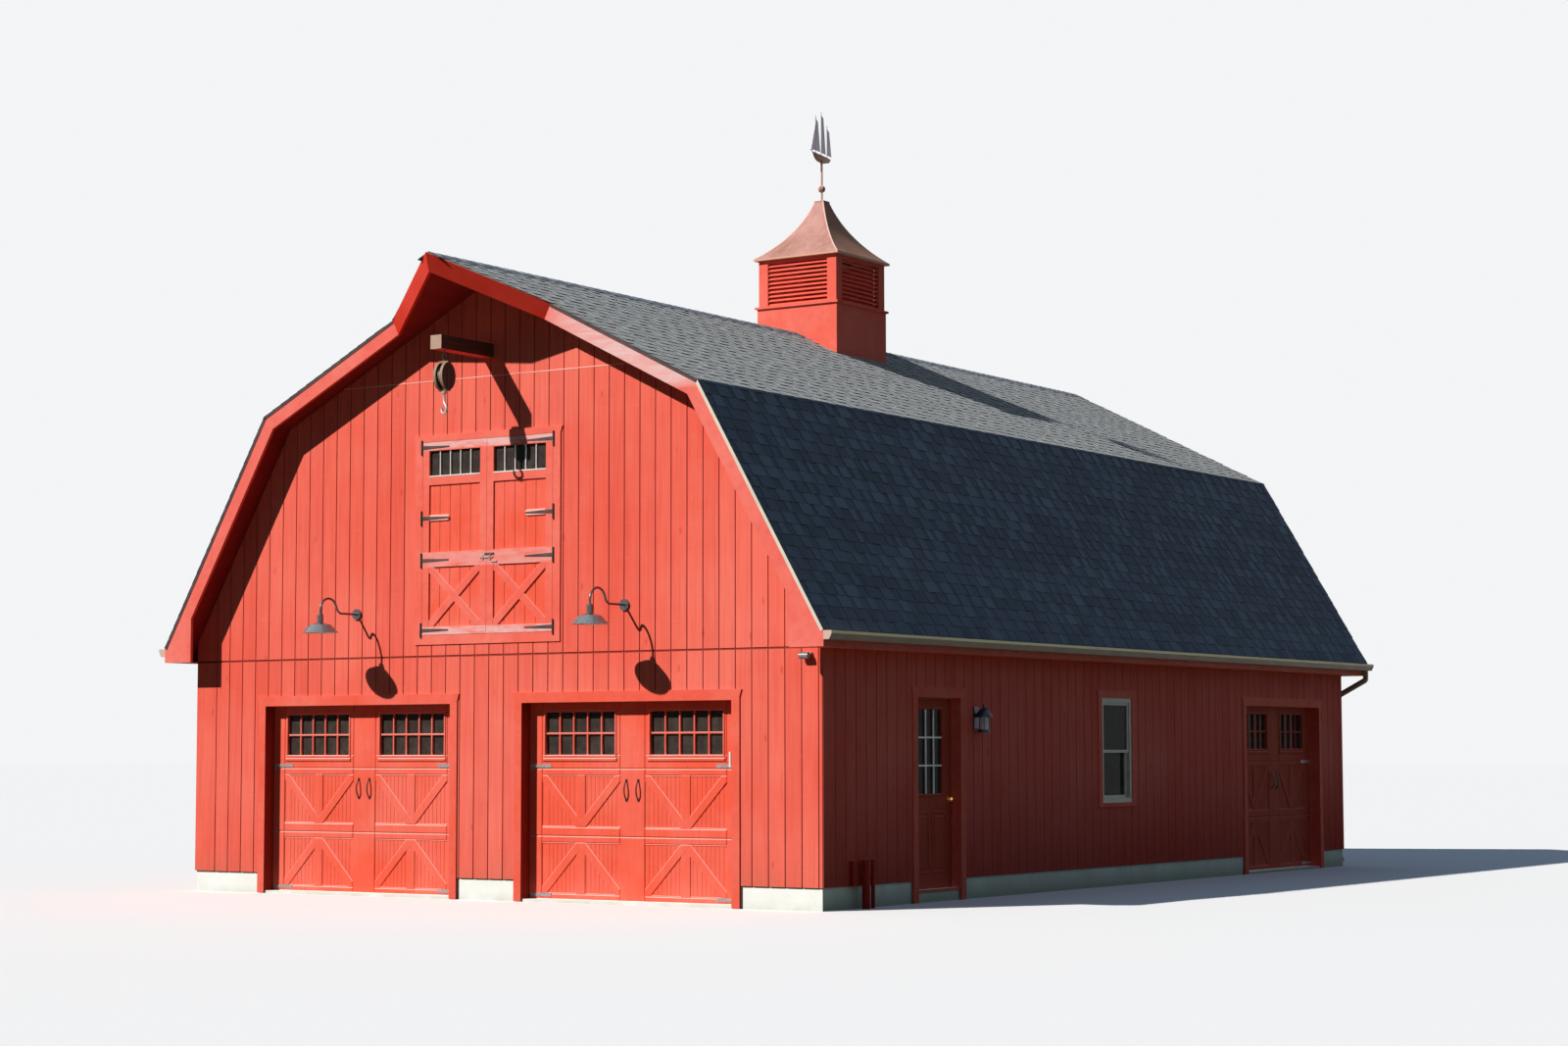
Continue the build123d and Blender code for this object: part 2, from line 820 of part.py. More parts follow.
def sectional_leaf(face, along, width, head, lite, margin, sill):
    plane = wall_plane(face, along, out=-wall_thickness - leaf_thickness)
    top = head + leaf_overlap
    section = (top - leaf_low) / section_count
    for level in range(section_count):
        low = leaf_low + level * section + section_gap / 2
        panel(plane, width + 2 * leaf_overlap, low, low + section - section_gap, leaf_thickness)
    for centre in garage_lites(width, lite, margin):
        panel(plane, lite, sill, sill + lite_height, leaf_thickness, centre, mode=Mode.SUBTRACT)


with BuildPart() as front_garage_doors:
    for face, along, width, head in garage_doorways[:2]:
        sectional_leaf(face, along, width, head, lite_width, lite_from_jamb, lite_sill)
save(front_garage_doors, "front_garage_doors")

with BuildPart() as side_garage_door:
    sectional_leaf(*garage_doorways[2], side_lite_width, side_lite_from_jamb, side_lite_sill)
save(side_garage_door, "side_garage_door")


# Loft doors: boards with a frame of stiles and rails planted on them
def loft_leaf(side):
    width = loft_opening_width / 2 - 1.5 * loft_gap
    centre = side * (loft_gap / 2 + width / 2)
    low = loft_door_sill + loft_gap
    high = loft_door_head - loft_gap
    back = wall_plane("front", centre, out=-loft_board_thickness)
    panel(back, width, low, high, loft_board_thickness)
    rail_span = width - 2 * loft_stile_width
    panel(loft_plane, loft_stile_width, low, high, loft_rail_thickness, centre - (width - loft_stile_width) / 2)
    panel(loft_plane, loft_stile_width, low, high, loft_rail_thickness, centre + (width - loft_stile_width) / 2)
    lite_low = loft_lite_top - loft_lite_height
    rails = [
        (low, low + loft_stile_width),
        (loft_mid_rail_low, loft_mid_rail_high),
        (lite_low - loft_stile_width, lite_low),
        (loft_lite_top, high),
    ]
    for rail_low, rail_high in rails:
        panel(loft_plane, rail_span, rail_low, rail_high, loft_rail_thickness, centre)
    panel(back, rail_span, lite_low, loft_lite_top, loft_board_thickness, mode=Mode.SUBTRACT)


with BuildPart() as loft_doors:
    loft_leaf(-1)
    loft_leaf(1)
save(loft_doors, "loft_doors")

# Tapered strap hinges and the slide latch of the loft doors
strap_plane = wall_plane("front", 0.0, out=casing_thickness)
with BuildPart() as loft_door_hardware:
    for side in (-1, 1):
        edge = side * loft_opening_width / 2
        for height in strap_heights:
            root = edge + side * strap_barrel_radius
            (left, left_half), (right, right_half) = sorted(
                ((root, strap_height / 2), (root - side * strap_length, strap_tip_height / 2)))
            strap = [(left, height - left_half), (right, height - right_half),
                     (right, height + right_half), (left, height + left_half)]
            extrude(outline(strap_plane, strap), amount=strap_thickness)
            with Locations((root, front_face - casing_thickness - strap_barrel_radius, height)):
                Cylinder(strap_barrel_radius, strap_barrel_height)
    latch_height = loft_mid_rail_high - loft_stile_width / 2
    panel(strap_plane, slide_bolt_length, latch_height - slide_bolt_height / 2, latch_height + slide_bolt_height / 2,
          strap_barrel_radius, slide_bolt_offset)
save(loft_door_hardware, "loft_door_hardware")

# Curved pull handles, strap hinges and their packing blocks on the garage doors
with BuildPart() as garage_door_hardware:
    for face, along, width, head in garage_doorways:
        leaf_front = wall_plane(face, along, out=overlay_thickness - wall_thickness)
        for side in (-1, 1):
            plane = wall_plane(face, along, out=-wall_thickness)
            pull_middle = plane.from_local_coords((side * pull_offset, pull_height, 0))
            pull_side = Plane(pull_middle, x_dir=plane.z_dir, z_dir=plane.x_dir)
            pull_end = pull_length / 2
            for foot in (-pull_end, pull_end):
                rod(pull_side.from_local_coords((0, foot, 0)), pull_side.from_local_coords((pull_foot, foot, 0)),
                    pull_boss_radius)
            with BuildLine(pull_side) as pull:
                ThreePointArc((pull_foot - pull_radius, -pull_end), (pull_standoff, 0),
                              (pull_foot - pull_radius, pull_end))
            with BuildSketch(Plane(pull.line @ 0, z_dir=pull.line % 0)):
                Circle(pull_radius)
            sweep(path=pull.line)
            for level in (leaf_low + garage_strap_height, garage_strap_level):
                panel(leaf_front, garage_strap_length, level - garage_strap_height / 2,
                      level + garage_strap_height / 2, strap_thickness,
                      side * (width / 2 - door_gap - garage_strap_length / 2))
                panel(plane, garage_strap_height, level - garage_strap_height / 2, level + garage_strap_height / 2,
                      overlay_thickness, side * (width / 2 - door_gap - garage_strap_height))
save(garage_door_hardware, "garage_door_hardware")

# Man door leaf with a glazed upper half, a bore for the knob spindle and the upper hinge knuckles
leaf_low_edge = man_door_sill_top + door_floor_gap
hinge_x = half_width - wall_thickness - hinge_pin_offset
hinge_y = man_door_middle - man_door_width / 2
hinge_levels = [
    leaf_low_edge + hinge_margin,
    (leaf_low_edge + man_door_head) / 2,
    man_door_head - door_gap - hinge_margin,
]
knob_y = man_door_middle + man_door_width / 2 - latch_gap - knob_backset
with BuildPart() as man_door:
    plane = wall_plane("right", man_door_middle, out=-wall_thickness)
    panel(plane, man_door_width - door_gap - latch_gap, leaf_low_edge, man_door_head - door_gap, leaf_thickness,
          (door_gap - latch_gap) / 2)
    panel(plane, door_lite_width, door_lite_sill, door_lite_sill + door_lite_height, leaf_thickness,
          mode=Mode.SUBTRACT)
    with Locations(Location((leaf_face - leaf_thickness / 2, knob_y, knob_height), (0, 90, 0))):
        Cylinder(spindle_radius + spindle_clearance, leaf_thickness, mode=Mode.SUBTRACT)
    for level in hinge_levels:
        span = (level + hinge_knuckle_gap / 2, level + hinge_barrel_height / 2 - hinge_knuckle_gap / 2)
        rod((hinge_x, hinge_y, span[0]), (hinge_x, hinge_y, span[1]), hinge_barrel_radius)
        block((hinge_x, hinge_x + hinge_pin_offset), (hinge_y, hinge_y + hinge_plate_thickness), span)
        block((hinge_x + hinge_pin_offset - hinge_plate_thickness, hinge_x + hinge_pin_offset),
              (hinge_y, hinge_y + door_gap + hinge_plate_width), span)
        with Locations((hinge_x, hinge_y, level)):
            Cylinder(hinge_pin_radius + hinge_pin_clearance, hinge_barrel_height, mode=Mode.SUBTRACT)
save(man_door, "man_door")

with BuildPart() as man_door_glass:
    plane = wall_plane("right", man_door_middle, out=-wall_thickness + (leaf_thickness - glass_thickness) / 2)
    panel(plane, door_lite_width, door_lite_sill, door_lite_sill + door_lite_height, glass_thickness)
save(man_door_glass, "man_door_glass")

# Knob, turned in one piece with its roses and spindle
half_leaf = leaf_thickness / 2
rose_start = half_leaf + knob_gap
rose_end = rose_start + knob_rose_thickness
knob_middle = half_leaf + knob_reach - knob_radius
neck_meets_ball = knob_middle - (knob_radius ** 2 - knob_neck_radius ** 2) ** 0.5
with BuildPart() as man_door_knob:
    with BuildSketch(Plane((leaf_face - half_leaf, knob_y, knob_height), x_dir=(1, 0, 0), z_dir=(0, -1, 0))):
        with BuildLine():
            Polyline((0, 0), (0, spindle_radius), (rose_start, spindle_radius), (rose_start, knob_rose_radius),
                     (rose_end, knob_rose_radius), (rose_end, knob_neck_radius), (neck_meets_ball, knob_neck_radius))
            ThreePointArc((neck_meets_ball, knob_neck_radius), (knob_middle, knob_radius),
                          (knob_middle + knob_radius, 0))
            Line((knob_middle + knob_radius, 0), (0, 0))
        make_face()
    revolve(axis=Axis((leaf_face - half_leaf, knob_y, knob_height), (1, 0, 0)))
    mirror(about=Plane((leaf_face - half_leaf, knob_y, knob_height), z_dir=(1, 0, 0)))
save(man_door_knob, "man_door_knob")

# Jamb halves of the three butt hinges, each with its pin and lower knuckle
with BuildPart() as man_door_hinges:
    for level in hinge_levels:
        low = level - hinge_barrel_height / 2
        high = level + hinge_barrel_height / 2
        span = (low, level - hinge_knuckle_gap / 2)
        rod((hinge_x, hinge_y, low), (hinge_x, hinge_y, high), hinge_pin_radius)
        rod((hinge_x, hinge_y, low), (hinge_x, hinge_y, span[1]), hinge_barrel_radius)
        rod((hinge_x, hinge_y, high), (hinge_x, hinge_y, high + hinge_pin_radius), hinge_barrel_radius)
        block((hinge_x, hinge_x + hinge_pin_offset), (hinge_y - hinge_plate_thickness, hinge_y), span)
        block((hinge_x + hinge_pin_offset - hinge_plate_thickness, hinge_x + hinge_pin_offset),
              (hinge_y - hinge_plate_width, hinge_y), span)
save(man_door_hinges, "man_door_hinges")

# Double-hung windows: almond frames with two sashes each, the lower one behind the upper one
sash_span = window_width - 2 * window_frame_width


def sashes(sill):
    low = sill + window_frame_width
    high = sill + window_height - window_frame_width
    meeting = sill + meeting_rail_height - window_sill
    lower = (low, meeting + sash_width / 2, sash_setback + sash_thickness)
    upper = (meeting - sash_width / 2, high, sash_setback)
    return lower, upper


with BuildPart() as window_frames:
    for face, along, sill in windows:
        back = wall_plane(face, along, out=window_frame_proud - window_frame_depth)
        panel(back, window_width, sill, sill + window_height, window_frame_depth)
        panel(back, sash_span, sill + window_frame_width, sill + window_height - window_frame_width,
              window_frame_depth, mode=Mode.SUBTRACT)
        for low, high, setback in sashes(sill):
            plane = wall_plane(face, along, out=-setback - sash_thickness)
            panel(plane, sash_span, low, high, sash_thickness)
            panel(plane, sash_span - 2 * sash_width, low + sash_width, high - sash_width, sash_thickness,
                  mode=Mode.SUBTRACT)
save(window_frames, "window_frames")

# All fixed panes: garage doors, loft doors and windows
with BuildPart() as fixed_glass:
    for face, along, width, head in garage_doorways:
        side_door = face == "right"
        lite = side_lite_width if side_door else lite_width
        margin = side_lite_from_jamb if side_door else lite_from_jamb
        sill = side_lite_sill if side_door else lite_sill
        plane = wall_plane(face, along, out=-wall_thickness - (leaf_thickness + glass_thickness) / 2)
        for centre in garage_lites(width, lite, margin):
            panel(plane, lite, sill, sill + lite_height, glass_thickness, centre)
    loft_leaf_width = loft_opening_width / 2 - 1.5 * loft_gap
    for side in (-1, 1):
        panel(wall_plane("front", 0.0, out=-loft_board_thickness / 2), loft_leaf_width - 2 * loft_stile_width,
              loft_lite_top - loft_lite_height, loft_lite_top, glass_thickness,
              side * (loft_gap + loft_leaf_width) / 2)
    for face, along, sill in windows:
        for low, high, setback in sashes(sill):
            plane = wall_plane(face, along, out=-setback - (sash_thickness + glass_thickness) / 2)
            panel(plane, sash_span - 2 * sash_width, low + sash_width, high - sash_width, glass_thickness)
save(fixed_glass, "fixed_glass")

# Hoist beam through the gable, and the eye screwed into its underside
beam_end = front_face - beam_reach
eye_y = beam_end + eye_setback
eye_height = beam_underside - eye_drop
with BuildPart() as hay_beam:
    block((-beam_size / 2, beam_size / 2), (beam_end, inner_front), (beam_underside, beam_underside + beam_size))
save(hay_beam, "hay_beam")

with BuildPart() as hoist_eye:
    with Locations(Location((0, eye_y, eye_height), (90, 0, 0))):
        Torus(eye_ring_radius, eye_bar_radius)
    stem_low = eye_height + eye_ring_radius
    with Locations((0, eye_y, (stem_low + beam_underside) / 2)):
        Cylinder(eye_bar_radius, beam_underside - stem_low)
save(hoist_eye, "hoist_eye")

# Pulley block: wooden cheeks in an iron strap, with an axle and a shackle through the eye
block_pivot = eye_height - eye_ring_radius
shackle_ring = eye_bar_radius + pin_clearance + shackle_bar_radius
block_top = block_pivot - shackle_length
block_middle = block_top - block_height / 2
block_half = block_mouth / 2 + cheek_thickness
bridge_span = (-block_half - block_strap, block_half + block_strap)
bridge_y = (eye_y - bridge_depth / 2, eye_y + bridge_depth / 2)
hook_bridge = block_top - block_height
with BuildPart() as pulley_block:
    with BuildSketch(Plane.YZ.offset(block_mouth / 2)):
        with Locations((eye_y, block_middle)):
            Ellipse(block_width / 2, block_height / 2)
    extrude(amount=cheek_thickness)
    block((block_half, block_half + block_strap), (eye_y - block_strap_width / 2, eye_y + block_strap_width / 2),
          (hook_bridge, block_top))
    mirror(about=Plane.YZ)
    block(bridge_span, bridge_y, (block_top - bridge_height / 2, block_top + bridge_height / 2))
    block(bridge_span, bridge_y, (hook_bridge - bridge_height / 2, hook_bridge + bridge_height / 2))
    rod((bridge_span[0] - block_strap, eye_y, block_middle), (bridge_span[1] + block_strap, eye_y, block_middle),
        axle_radius)
    with Locations((0, eye_y, hook_bridge)):
        Cylinder(hook_bar_radius + pin_clearance, bridge_height, mode=Mode.SUBTRACT)
    for side in (-1, 1):
        rod((0, eye_y + side * shackle_ring, block_top), (0, eye_y + side * shackle_ring, block_pivot),
            shackle_bar_radius)
    with BuildLine(Plane.YZ) as shackle_bow:
        CenterArc((eye_y, block_pivot), shackle_ring, 0, 180)
    with BuildSketch(Plane((0, eye_y + shackle_ring, block_pivot), z_dir=(0, 0, 1))):
        Circle(shackle_bar_radius)
    sweep(path=shackle_bow.line)
save(pulley_block, "pulley_block")

with BuildPart() as pulley_sheave:
    with Locations(Location((0, eye_y, block_middle), (0, 90, 0))):
        Cylinder(sheave_radius, sheave_thickness)
        Cylinder(axle_radius + pin_clearance, sheave_thickness, mode=Mode.SUBTRACT)
        Torus(sheave_radius, sheave_groove, mode=Mode.SUBTRACT)
save(pulley_sheave, "pulley_sheave")

# Hook, hanging by its round head from the lower bridge of the block, its throat open to the left
hook_head_low = hook_bridge + bridge_height / 2 + pin_clearance
collar_top = hook_bridge - bridge_height / 2 - pin_clearance
throat_height = hook_bridge - hook_drop
throat_turn = radians(hook_throat_turn)
throat_start = (eye_y + hook_throat_radius * cos(throat_turn), throat_height + hook_throat_radius * sin(throat_turn))
shank_end = throat_height + 2 * hook_throat_radius
with BuildPart() as hoist_hook:
    with Locations((0, eye_y, hook_head_low + hook_head_height / 2)):
        Cylinder(hook_head_radius, hook_head_height)
    with Locations((0, eye_y, collar_top - hook_collar_height / 2)):
        Cylinder(hook_collar_radius, hook_collar_height)
    rod((0, eye_y, shank_end), (0, eye_y, hook_head_low), hook_bar_radius)
    with BuildLine(Plane.YZ) as hook_bend:
        Spline((eye_y, shank_end), throat_start, tangents=[(0, -1), (sin(throat_turn), -cos(throat_turn))])
        CenterArc((eye_y, throat_height), hook_throat_radius, hook_throat_turn, -200 - hook_throat_turn)
    with BuildSketch(Plane((0, eye_y, shank_end), z_dir=(0, 0, -1))):
        Circle(hook_bar_radius)
    bend = sweep(path=hook_bend.line, mode=Mode.PRIVATE)
    add(bend.rotate(Axis((0, eye_y, 0), (0, 0, 1)), hook_turn))
save(hoist_hook, "hoist_hook")

# Barn lights: a round plate, a bent tube and a wide shade on a neck
crest_turn = lamp_rise_turn + 90.0
with BuildPart() as barn_lights:
    for side in (-1, 1):
        plane = wall_plane("front", side * garage_spacing / 2)
        lamp_side = Plane(plane.origin, x_dir=(0, -1, 0), z_dir=(-1, 0, 0))
        with BuildSketch(plane):
            with Locations((0, lamp_height)):
                Circle(lamp_plate_radius)
        extrude(amount=lamp_plate_thickness)
        with BuildLine(lamp_side) as lamp_tube:
            straight = Line((0, lamp_height), (lamp_rise_start, lamp_height))
            rise = JernArc(straight @ 1, (1, 0), lamp_rise_radius, lamp_rise_turn)
            crest = JernArc(rise @ 1, rise % 1, lamp_crest_radius, -crest_turn)
            Line(crest @ 1, (lamp_reach, shade_neck_base))
        with BuildSketch(Plane(lamp_tube.line @ 0, z_dir=lamp_tube.line % 0)):
            Circle(lamp_tube_radius)
        sweep(path=lamp_tube.line)
        with BuildSketch(lamp_side):
            with BuildLine():
                Polyline((lamp_reach, shade_neck_top), (lamp_reach + shade_crown_radius, shade_neck_top),
                         (lamp_reach + shade_neck_radius, shade_neck_top - shade_neck_radius / 2),
                         (lamp_reach + shade_neck_radius, shade_neck_base),
                         shade_shoulder, shade_rim, (shade_rim[0] - shade_metal, shade_rim[1]),
                         (shade_shoulder[0] - shade_metal, shade_shoulder[1] - shade_metal),
                         (lamp_reach + shade_neck_radius, shade_neck_base - shade_metal),
                         (lamp_reach, shade_neck_base - shade_metal), close=True)
            make_face()
        revolve(axis=Axis((plane.origin.X, front_face - lamp_reach, 0), (0, 0, 1)))
save(barn_lights, "barn_lights")

with BuildPart() as lamp_bulbs:
    for side in (-1, 1):
        with Locations((side * garage_spacing / 2, front_face - lamp_reach, bulb_height)):
            Sphere(bulb_radius)
            with Locations((0, 0, (shade_neck_base - bulb_height - shade_metal) / 2)):
                Cylinder(bulb_radius / 2, shade_neck_base - bulb_height - shade_metal)
save(lamp_bulbs, "lamp_bulbs")

# Wall lantern: plate, arm, domed hood, cage bars and foot
lantern_y = from_front(lantern_from_front)
lantern_x = half_width + lantern_reach
with BuildPart() as wall_lantern:
    panel(wall_plane("right", lantern_y), lantern_plate_width, lantern_plate_low, lantern_plate_high,
          lantern_plate_thickness)
    rod((half_width, lantern_y, lantern_arm_height), (lantern_x, lantern_y, lantern_arm_height), lamp_tube_radius)
    with BuildSketch(Plane((lantern_x, lantern_y, 0), x_dir=(1, 0, 0), z_dir=(0, -1, 0))):
        with BuildLine():
            Polyline((0, lantern_hood_base), (lantern_hood_radius, lantern_hood_base),
                     (lantern_hood_radius, lantern_hood_base + lamp_tube_radius))
            ThreePointArc((lantern_hood_radius, lantern_hood_base + lamp_tube_radius),
                          (lantern_dome_radius, lantern_hood_base + lantern_dome_rise),
                          (lamp_tube_radius, lantern_hood_top))
            Polyline((lamp_tube_radius, lantern_hood_top), (lamp_tube_radius, lantern_finial_top),
                     (0, lantern_finial_top), (0, lantern_hood_base))
        make_face()
    revolve(axis=Axis((lantern_x, lantern_y, 0), (0, 0, 1)))
    with Locations((lantern_x, lantern_y, (lantern_foot_base + lantern_glass_base) / 2)):
        Cylinder(lantern_foot_radius, lantern_glass_base - lantern_foot_base)
    bar_middle = (lantern_foot_base + lantern_hood_base) / 2
    with Locations((lantern_x, lantern_y, bar_middle)):
        with PolarLocations(lantern_glass_radius + lantern_bar_radius, lantern_cage_bars):
            Cylinder(lantern_bar_radius, lantern_hood_base - lantern_foot_base)
save(wall_lantern, "wall_lantern")

with BuildPart() as lantern_glass:
    with Locations((lantern_x, lantern_y, (lantern_glass_base + lantern_hood_base) / 2)):
        Cylinder(lantern_glass_radius, lantern_hood_base - lantern_glass_base)
        Cylinder(lantern_glass_radius - glass_thickness, lantern_hood_base - lantern_glass_base, mode=Mode.SUBTRACT)
save(lantern_glass, "lantern_glass")

# Corner floodlight under the right rake return
with BuildPart() as corner_floodlight:
    plane = wall_plane("front", floodlight_x)
    panel(plane, floodlight_plate, floodlight_height - floodlight_plate / 2, floodlight_height,
          floodlight_head_radius)
    head_y = front_face - floodlight_head_radius * 2
    head_z = floodlight_height - floodlight_head_radius
    rod((floodlight_x, front_face, head_z), (floodlight_x, head_y, head_z), floodlight_head_radius / 2)
    rod((floodlight_x + floodlight_head_back, head_y, head_z),
        (floodlight_x - floodlight_head_front, head_y, head_z), floodlight_head_radius)
save(corner_floodlight, "corner_floodlight")

# Standpipes clipped to the footing, and the small box on the wall beside them
standpipe_x = half_width + standpipe_standoff
with BuildPart() as standpipes:
    for distance, radius, height in zip(standpipe_from_front, standpipe_radii, standpipe_heights):
        y = from_front(distance)
        rod((standpipe_x, y, 0), (standpipe_x, y, height), radius)
        block((half_width, standpipe_x), (y - radius / 2, y + radius / 2),
              (standpipe_clip_height - radius / 2, standpipe_clip_height + radius / 2))
    block((half_width, half_width + standpipe_box_depth),
          tuple(from_front(distance) for distance in standpipe_box_from_front), (footing_height, standpipe_box_top))
save(standpipes, "standpipes")

# Cupola base, cut underneath to sit astride the ridge
cupola_half = cupola_side / 2


def astride(half):
    return [
        (-half, roof_top(half)),
        (0, ridge_height),
        (half, roof_top(half)),
        (half, cupola_ledge_height),
        (-half, cupola_ledge_height),
    ]


with BuildPart() as cupola_base:
    prism(astride(cupola_half), cupola_middle - cupola_half, cupola_middle + cupola_half)
    cupola_inside = cupola_half - cupola_wall
    extrude(outline(Plane.XZ.offset(-cupola_middle - cupola_inside), astride(cupola_inside)),
            amount=2 * cupola_inside, mode=Mode.SUBTRACT)
save(cupola_base, "cupola_base")

# Ledge, louvre frame and louvre blades of the cupola
ledge_top = cupola_ledge_height + cupola_ledge_thickness
box_half = louvre_box_side / 2
louvre_span = louvre_box_side - 2 * louvre_post
louvre_pitch = (louvre_head_height - ledge_top) / louvre_count
with BuildPart() as cupola_ledge:
    with Locations((0, cupola_middle, (cupola_ledge_height + ledge_top) / 2)):
        Box(cupola_side + 2 * cupola_ledge_proud, cupola_side + 2 * cupola_ledge_proud, cupola_ledge_thickness)
save(cupola_ledge, "cupola_ledge")

with BuildPart() as cupola_louvre_frame:
    with Locations((0, cupola_middle, (ledge_top + cupola_eave_height) / 2)):
        Box(louvre_box_side, louvre_box_side, cupola_eave_height - ledge_top)
        Box(louvre_box_side - 2 * cupola_wall, louvre_box_side - 2 * cupola_wall, cupola_eave_height - ledge_top,
            mode=Mode.SUBTRACT)
    with Locations((0, cupola_middle, (ledge_top + louvre_head_height) / 2)):
        Box(louvre_span, louvre_box_side, louvre_head_height - ledge_top, mode=Mode.SUBTRACT)
        Box(louvre_box_side, louvre_span, louvre_head_height - ledge_top, mode=Mode.SUBTRACT)
save(cupola_louvre_frame, "cupola_louvre_frame")

with BuildPart() as cupola_louvres:
    for level in range(louvre_count):
        height = ledge_top + (level + 0.5) * louvre_pitch
        for turn in range(4):
            side_middle = Location((0, cupola_middle, height), (0, 0, 90.0 * turn))
            with Locations(side_middle * Location((0, cupola_wall - box_half, 0), (louvre_tilt, 0, 0))):
                Box(louvre_span, louvre_depth, louvre_blade)
save(cupola_louvres, "cupola_louvres")


# Copper roof: four hollow-curved faces up to a small square cap
def copper_face(plane, inset):
    half = cupola_eave_side / 2 - inset
    edge = cupola_eave_height + copper_edge
    low = cupola_eave_height + (copper_shell / 2 if inset else 0)
    cap = copper_cap_side / 2 - inset / 2
    top = copper_top - inset
    run = half - cap
    rise = top - edge
    slant = hypot(run, rise)
    middle = ((half + cap) / 2 - copper_sag * rise / slant, (edge + top) / 2 - copper_sag * run / slant)
    with BuildSketch(plane) as shape:
        with BuildLine():
            ThreePointArc((half, edge), middle, (cap, top))
            ThreePointArc((-half, edge), (-middle[0], middle[1]), (-cap, top))
            Line((cap, top), (-cap, top))
            Polyline((half, edge), (half, low), (-half, low), (-half, edge))
        make_face()
    return shape.sketch


copper_reach = cupola_eave_side
copper_across = Plane((0, cupola_middle + copper_reach / 2, 0), x_dir=(1, 0, 0), z_dir=(0, -1, 0))
copper_along = Plane((-copper_reach / 2, cupola_middle, 0), x_dir=(0, 1, 0), z_dir=(1, 0, 0))
with BuildPart() as copper_hollow:
    extrude(copper_face(copper_across, copper_shell), amount=copper_reach)
    extrude(copper_face(copper_along, copper_shell), amount=copper_reach, mode=Mode.INTERSECT)

with BuildPart() as cupola_roof:
    extrude(copper_face(copper_across, 0.0), amount=copper_reach)
    extrude(copper_face(copper_along, 0.0), amount=copper_reach, mode=Mode.INTERSECT)
    add(copper_hollow.part, mode=Mode.SUBTRACT)
    with Locations((0, cupola_middle, cupola_eave_height)):
        Box(copper_hatch, copper_hatch, copper_edge * 2, mode=Mode.SUBTRACT)
    with Locations((0, cupola_middle, copper_top + copper_cap_thickness / 2)):
        Box(copper_cap_side, copper_cap_side, copper_cap_thickness)
save(cupola_roof, "cupola_roof")

# Finial rod with its ball, and the spindle that carries the weathervane
spindle_top = vane_height
sleeve_low = vane_height + pin_clearance - vane_sleeve_length
with BuildPart() as finial:
    rod((0, cupola_middle, copper_top + copper_cap_thickness), (0, cupola_middle, spindle_top), finial_radius)
    with Locations((0, cupola_middle, ball_height)):
        Sphere(ball_radius)
    rod((0, cupola_middle, copper_top + copper_cap_thickness), (0, cupola_middle, sleeve_low - pin_clearance),
        vane_sleeve_radius)
save(finial, "finial")

# Weathervane: a three-masted boat on a sleeve, built along X and turned to its heading
deck_height = vane_height + pin_clearance + hull_height
half_hull = vane_length / 2
with BuildPart() as boat:
    with BuildSketch(Plane.XY.offset(vane_height + pin_clearance)):
        with BuildLine():
            ThreePointArc((-half_hull, 0), (0, hull_width / 2), (half_hull, 0))
            ThreePointArc((half_hull, 0), (0, -hull_width / 2), (-half_hull, 0))
        make_face()
    extrude(amount=hull_height)
    with BuildSketch(Plane.XZ.offset(-hull_width)):
        with BuildLine():
            ThreePointArc((-half_hull, deck_height), (0, deck_height - hull_sheer), (half_hull, deck_height))
            ThreePointArc((half_hull, deck_height), (half_hull / 2, vane_height + hull_bow_rise),
                          (0, vane_height + pin_clearance))
            ThreePointArc((0, vane_height + pin_clearance), (-hull_stern_reach, vane_height + hull_stern_rise),
                          (-half_hull, deck_height))
        make_face()
    extrude(amount=2 * hull_width, mode=Mode.INTERSECT)
    keel = vane_height + pin_clearance + hull_bow_rise
    rod((0, 0, sleeve_low), (0, 0, keel), vane_sleeve_radius)
    with Locations((0, 0, (sleeve_low + vane_height + pin_clearance) / 2)):
        Cylinder(finial_radius + pin_clearance, vane_sleeve_length, mode=Mode.SUBTRACT)
    rod((half_hull - bowsprit_length / 2, 0, deck_height - bowsprit_rise),
        (half_hull + bowsprit_length / 2, 0, deck_height + bowsprit_rise), mast_radius)
    for place, height in zip(mast_places, mast_heights):
        foot = deck_height - hull_height / 2
        rod((place, 0, foot), (place, 0, deck_height + height), mast_radius)
        sail = [
            (place, deck_height + sail_gap),
            (place, deck_height + height - sail_gap),
            (place - sail_width / 2, deck_height + height - 2 * sail_gap),
            (place - sail_width, deck_height + sail_gap),
        ]
        prism(sail, -sail_thickness / 2, sail_thickness / 2)
    jib = [
        (half_hull + jib_reach, deck_height + jib_rise),
        (mast_places[0], deck_height + mast_heights[0] - 2 * sail_gap),
        (mast_places[0], deck_height + sail_gap),
    ]
    prism(jib, -sail_thickness / 2, sail_thickness / 2)

with BuildPart() as weathervane:
    with Locations(Location((0, cupola_middle, 0), (0, 0, vane_heading - 90.0))):
        add(boat.part)
save(weathervane, "weathervane")
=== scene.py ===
import json
import math
import random

import bmesh
import bpy
from mathutils import Matrix, Vector


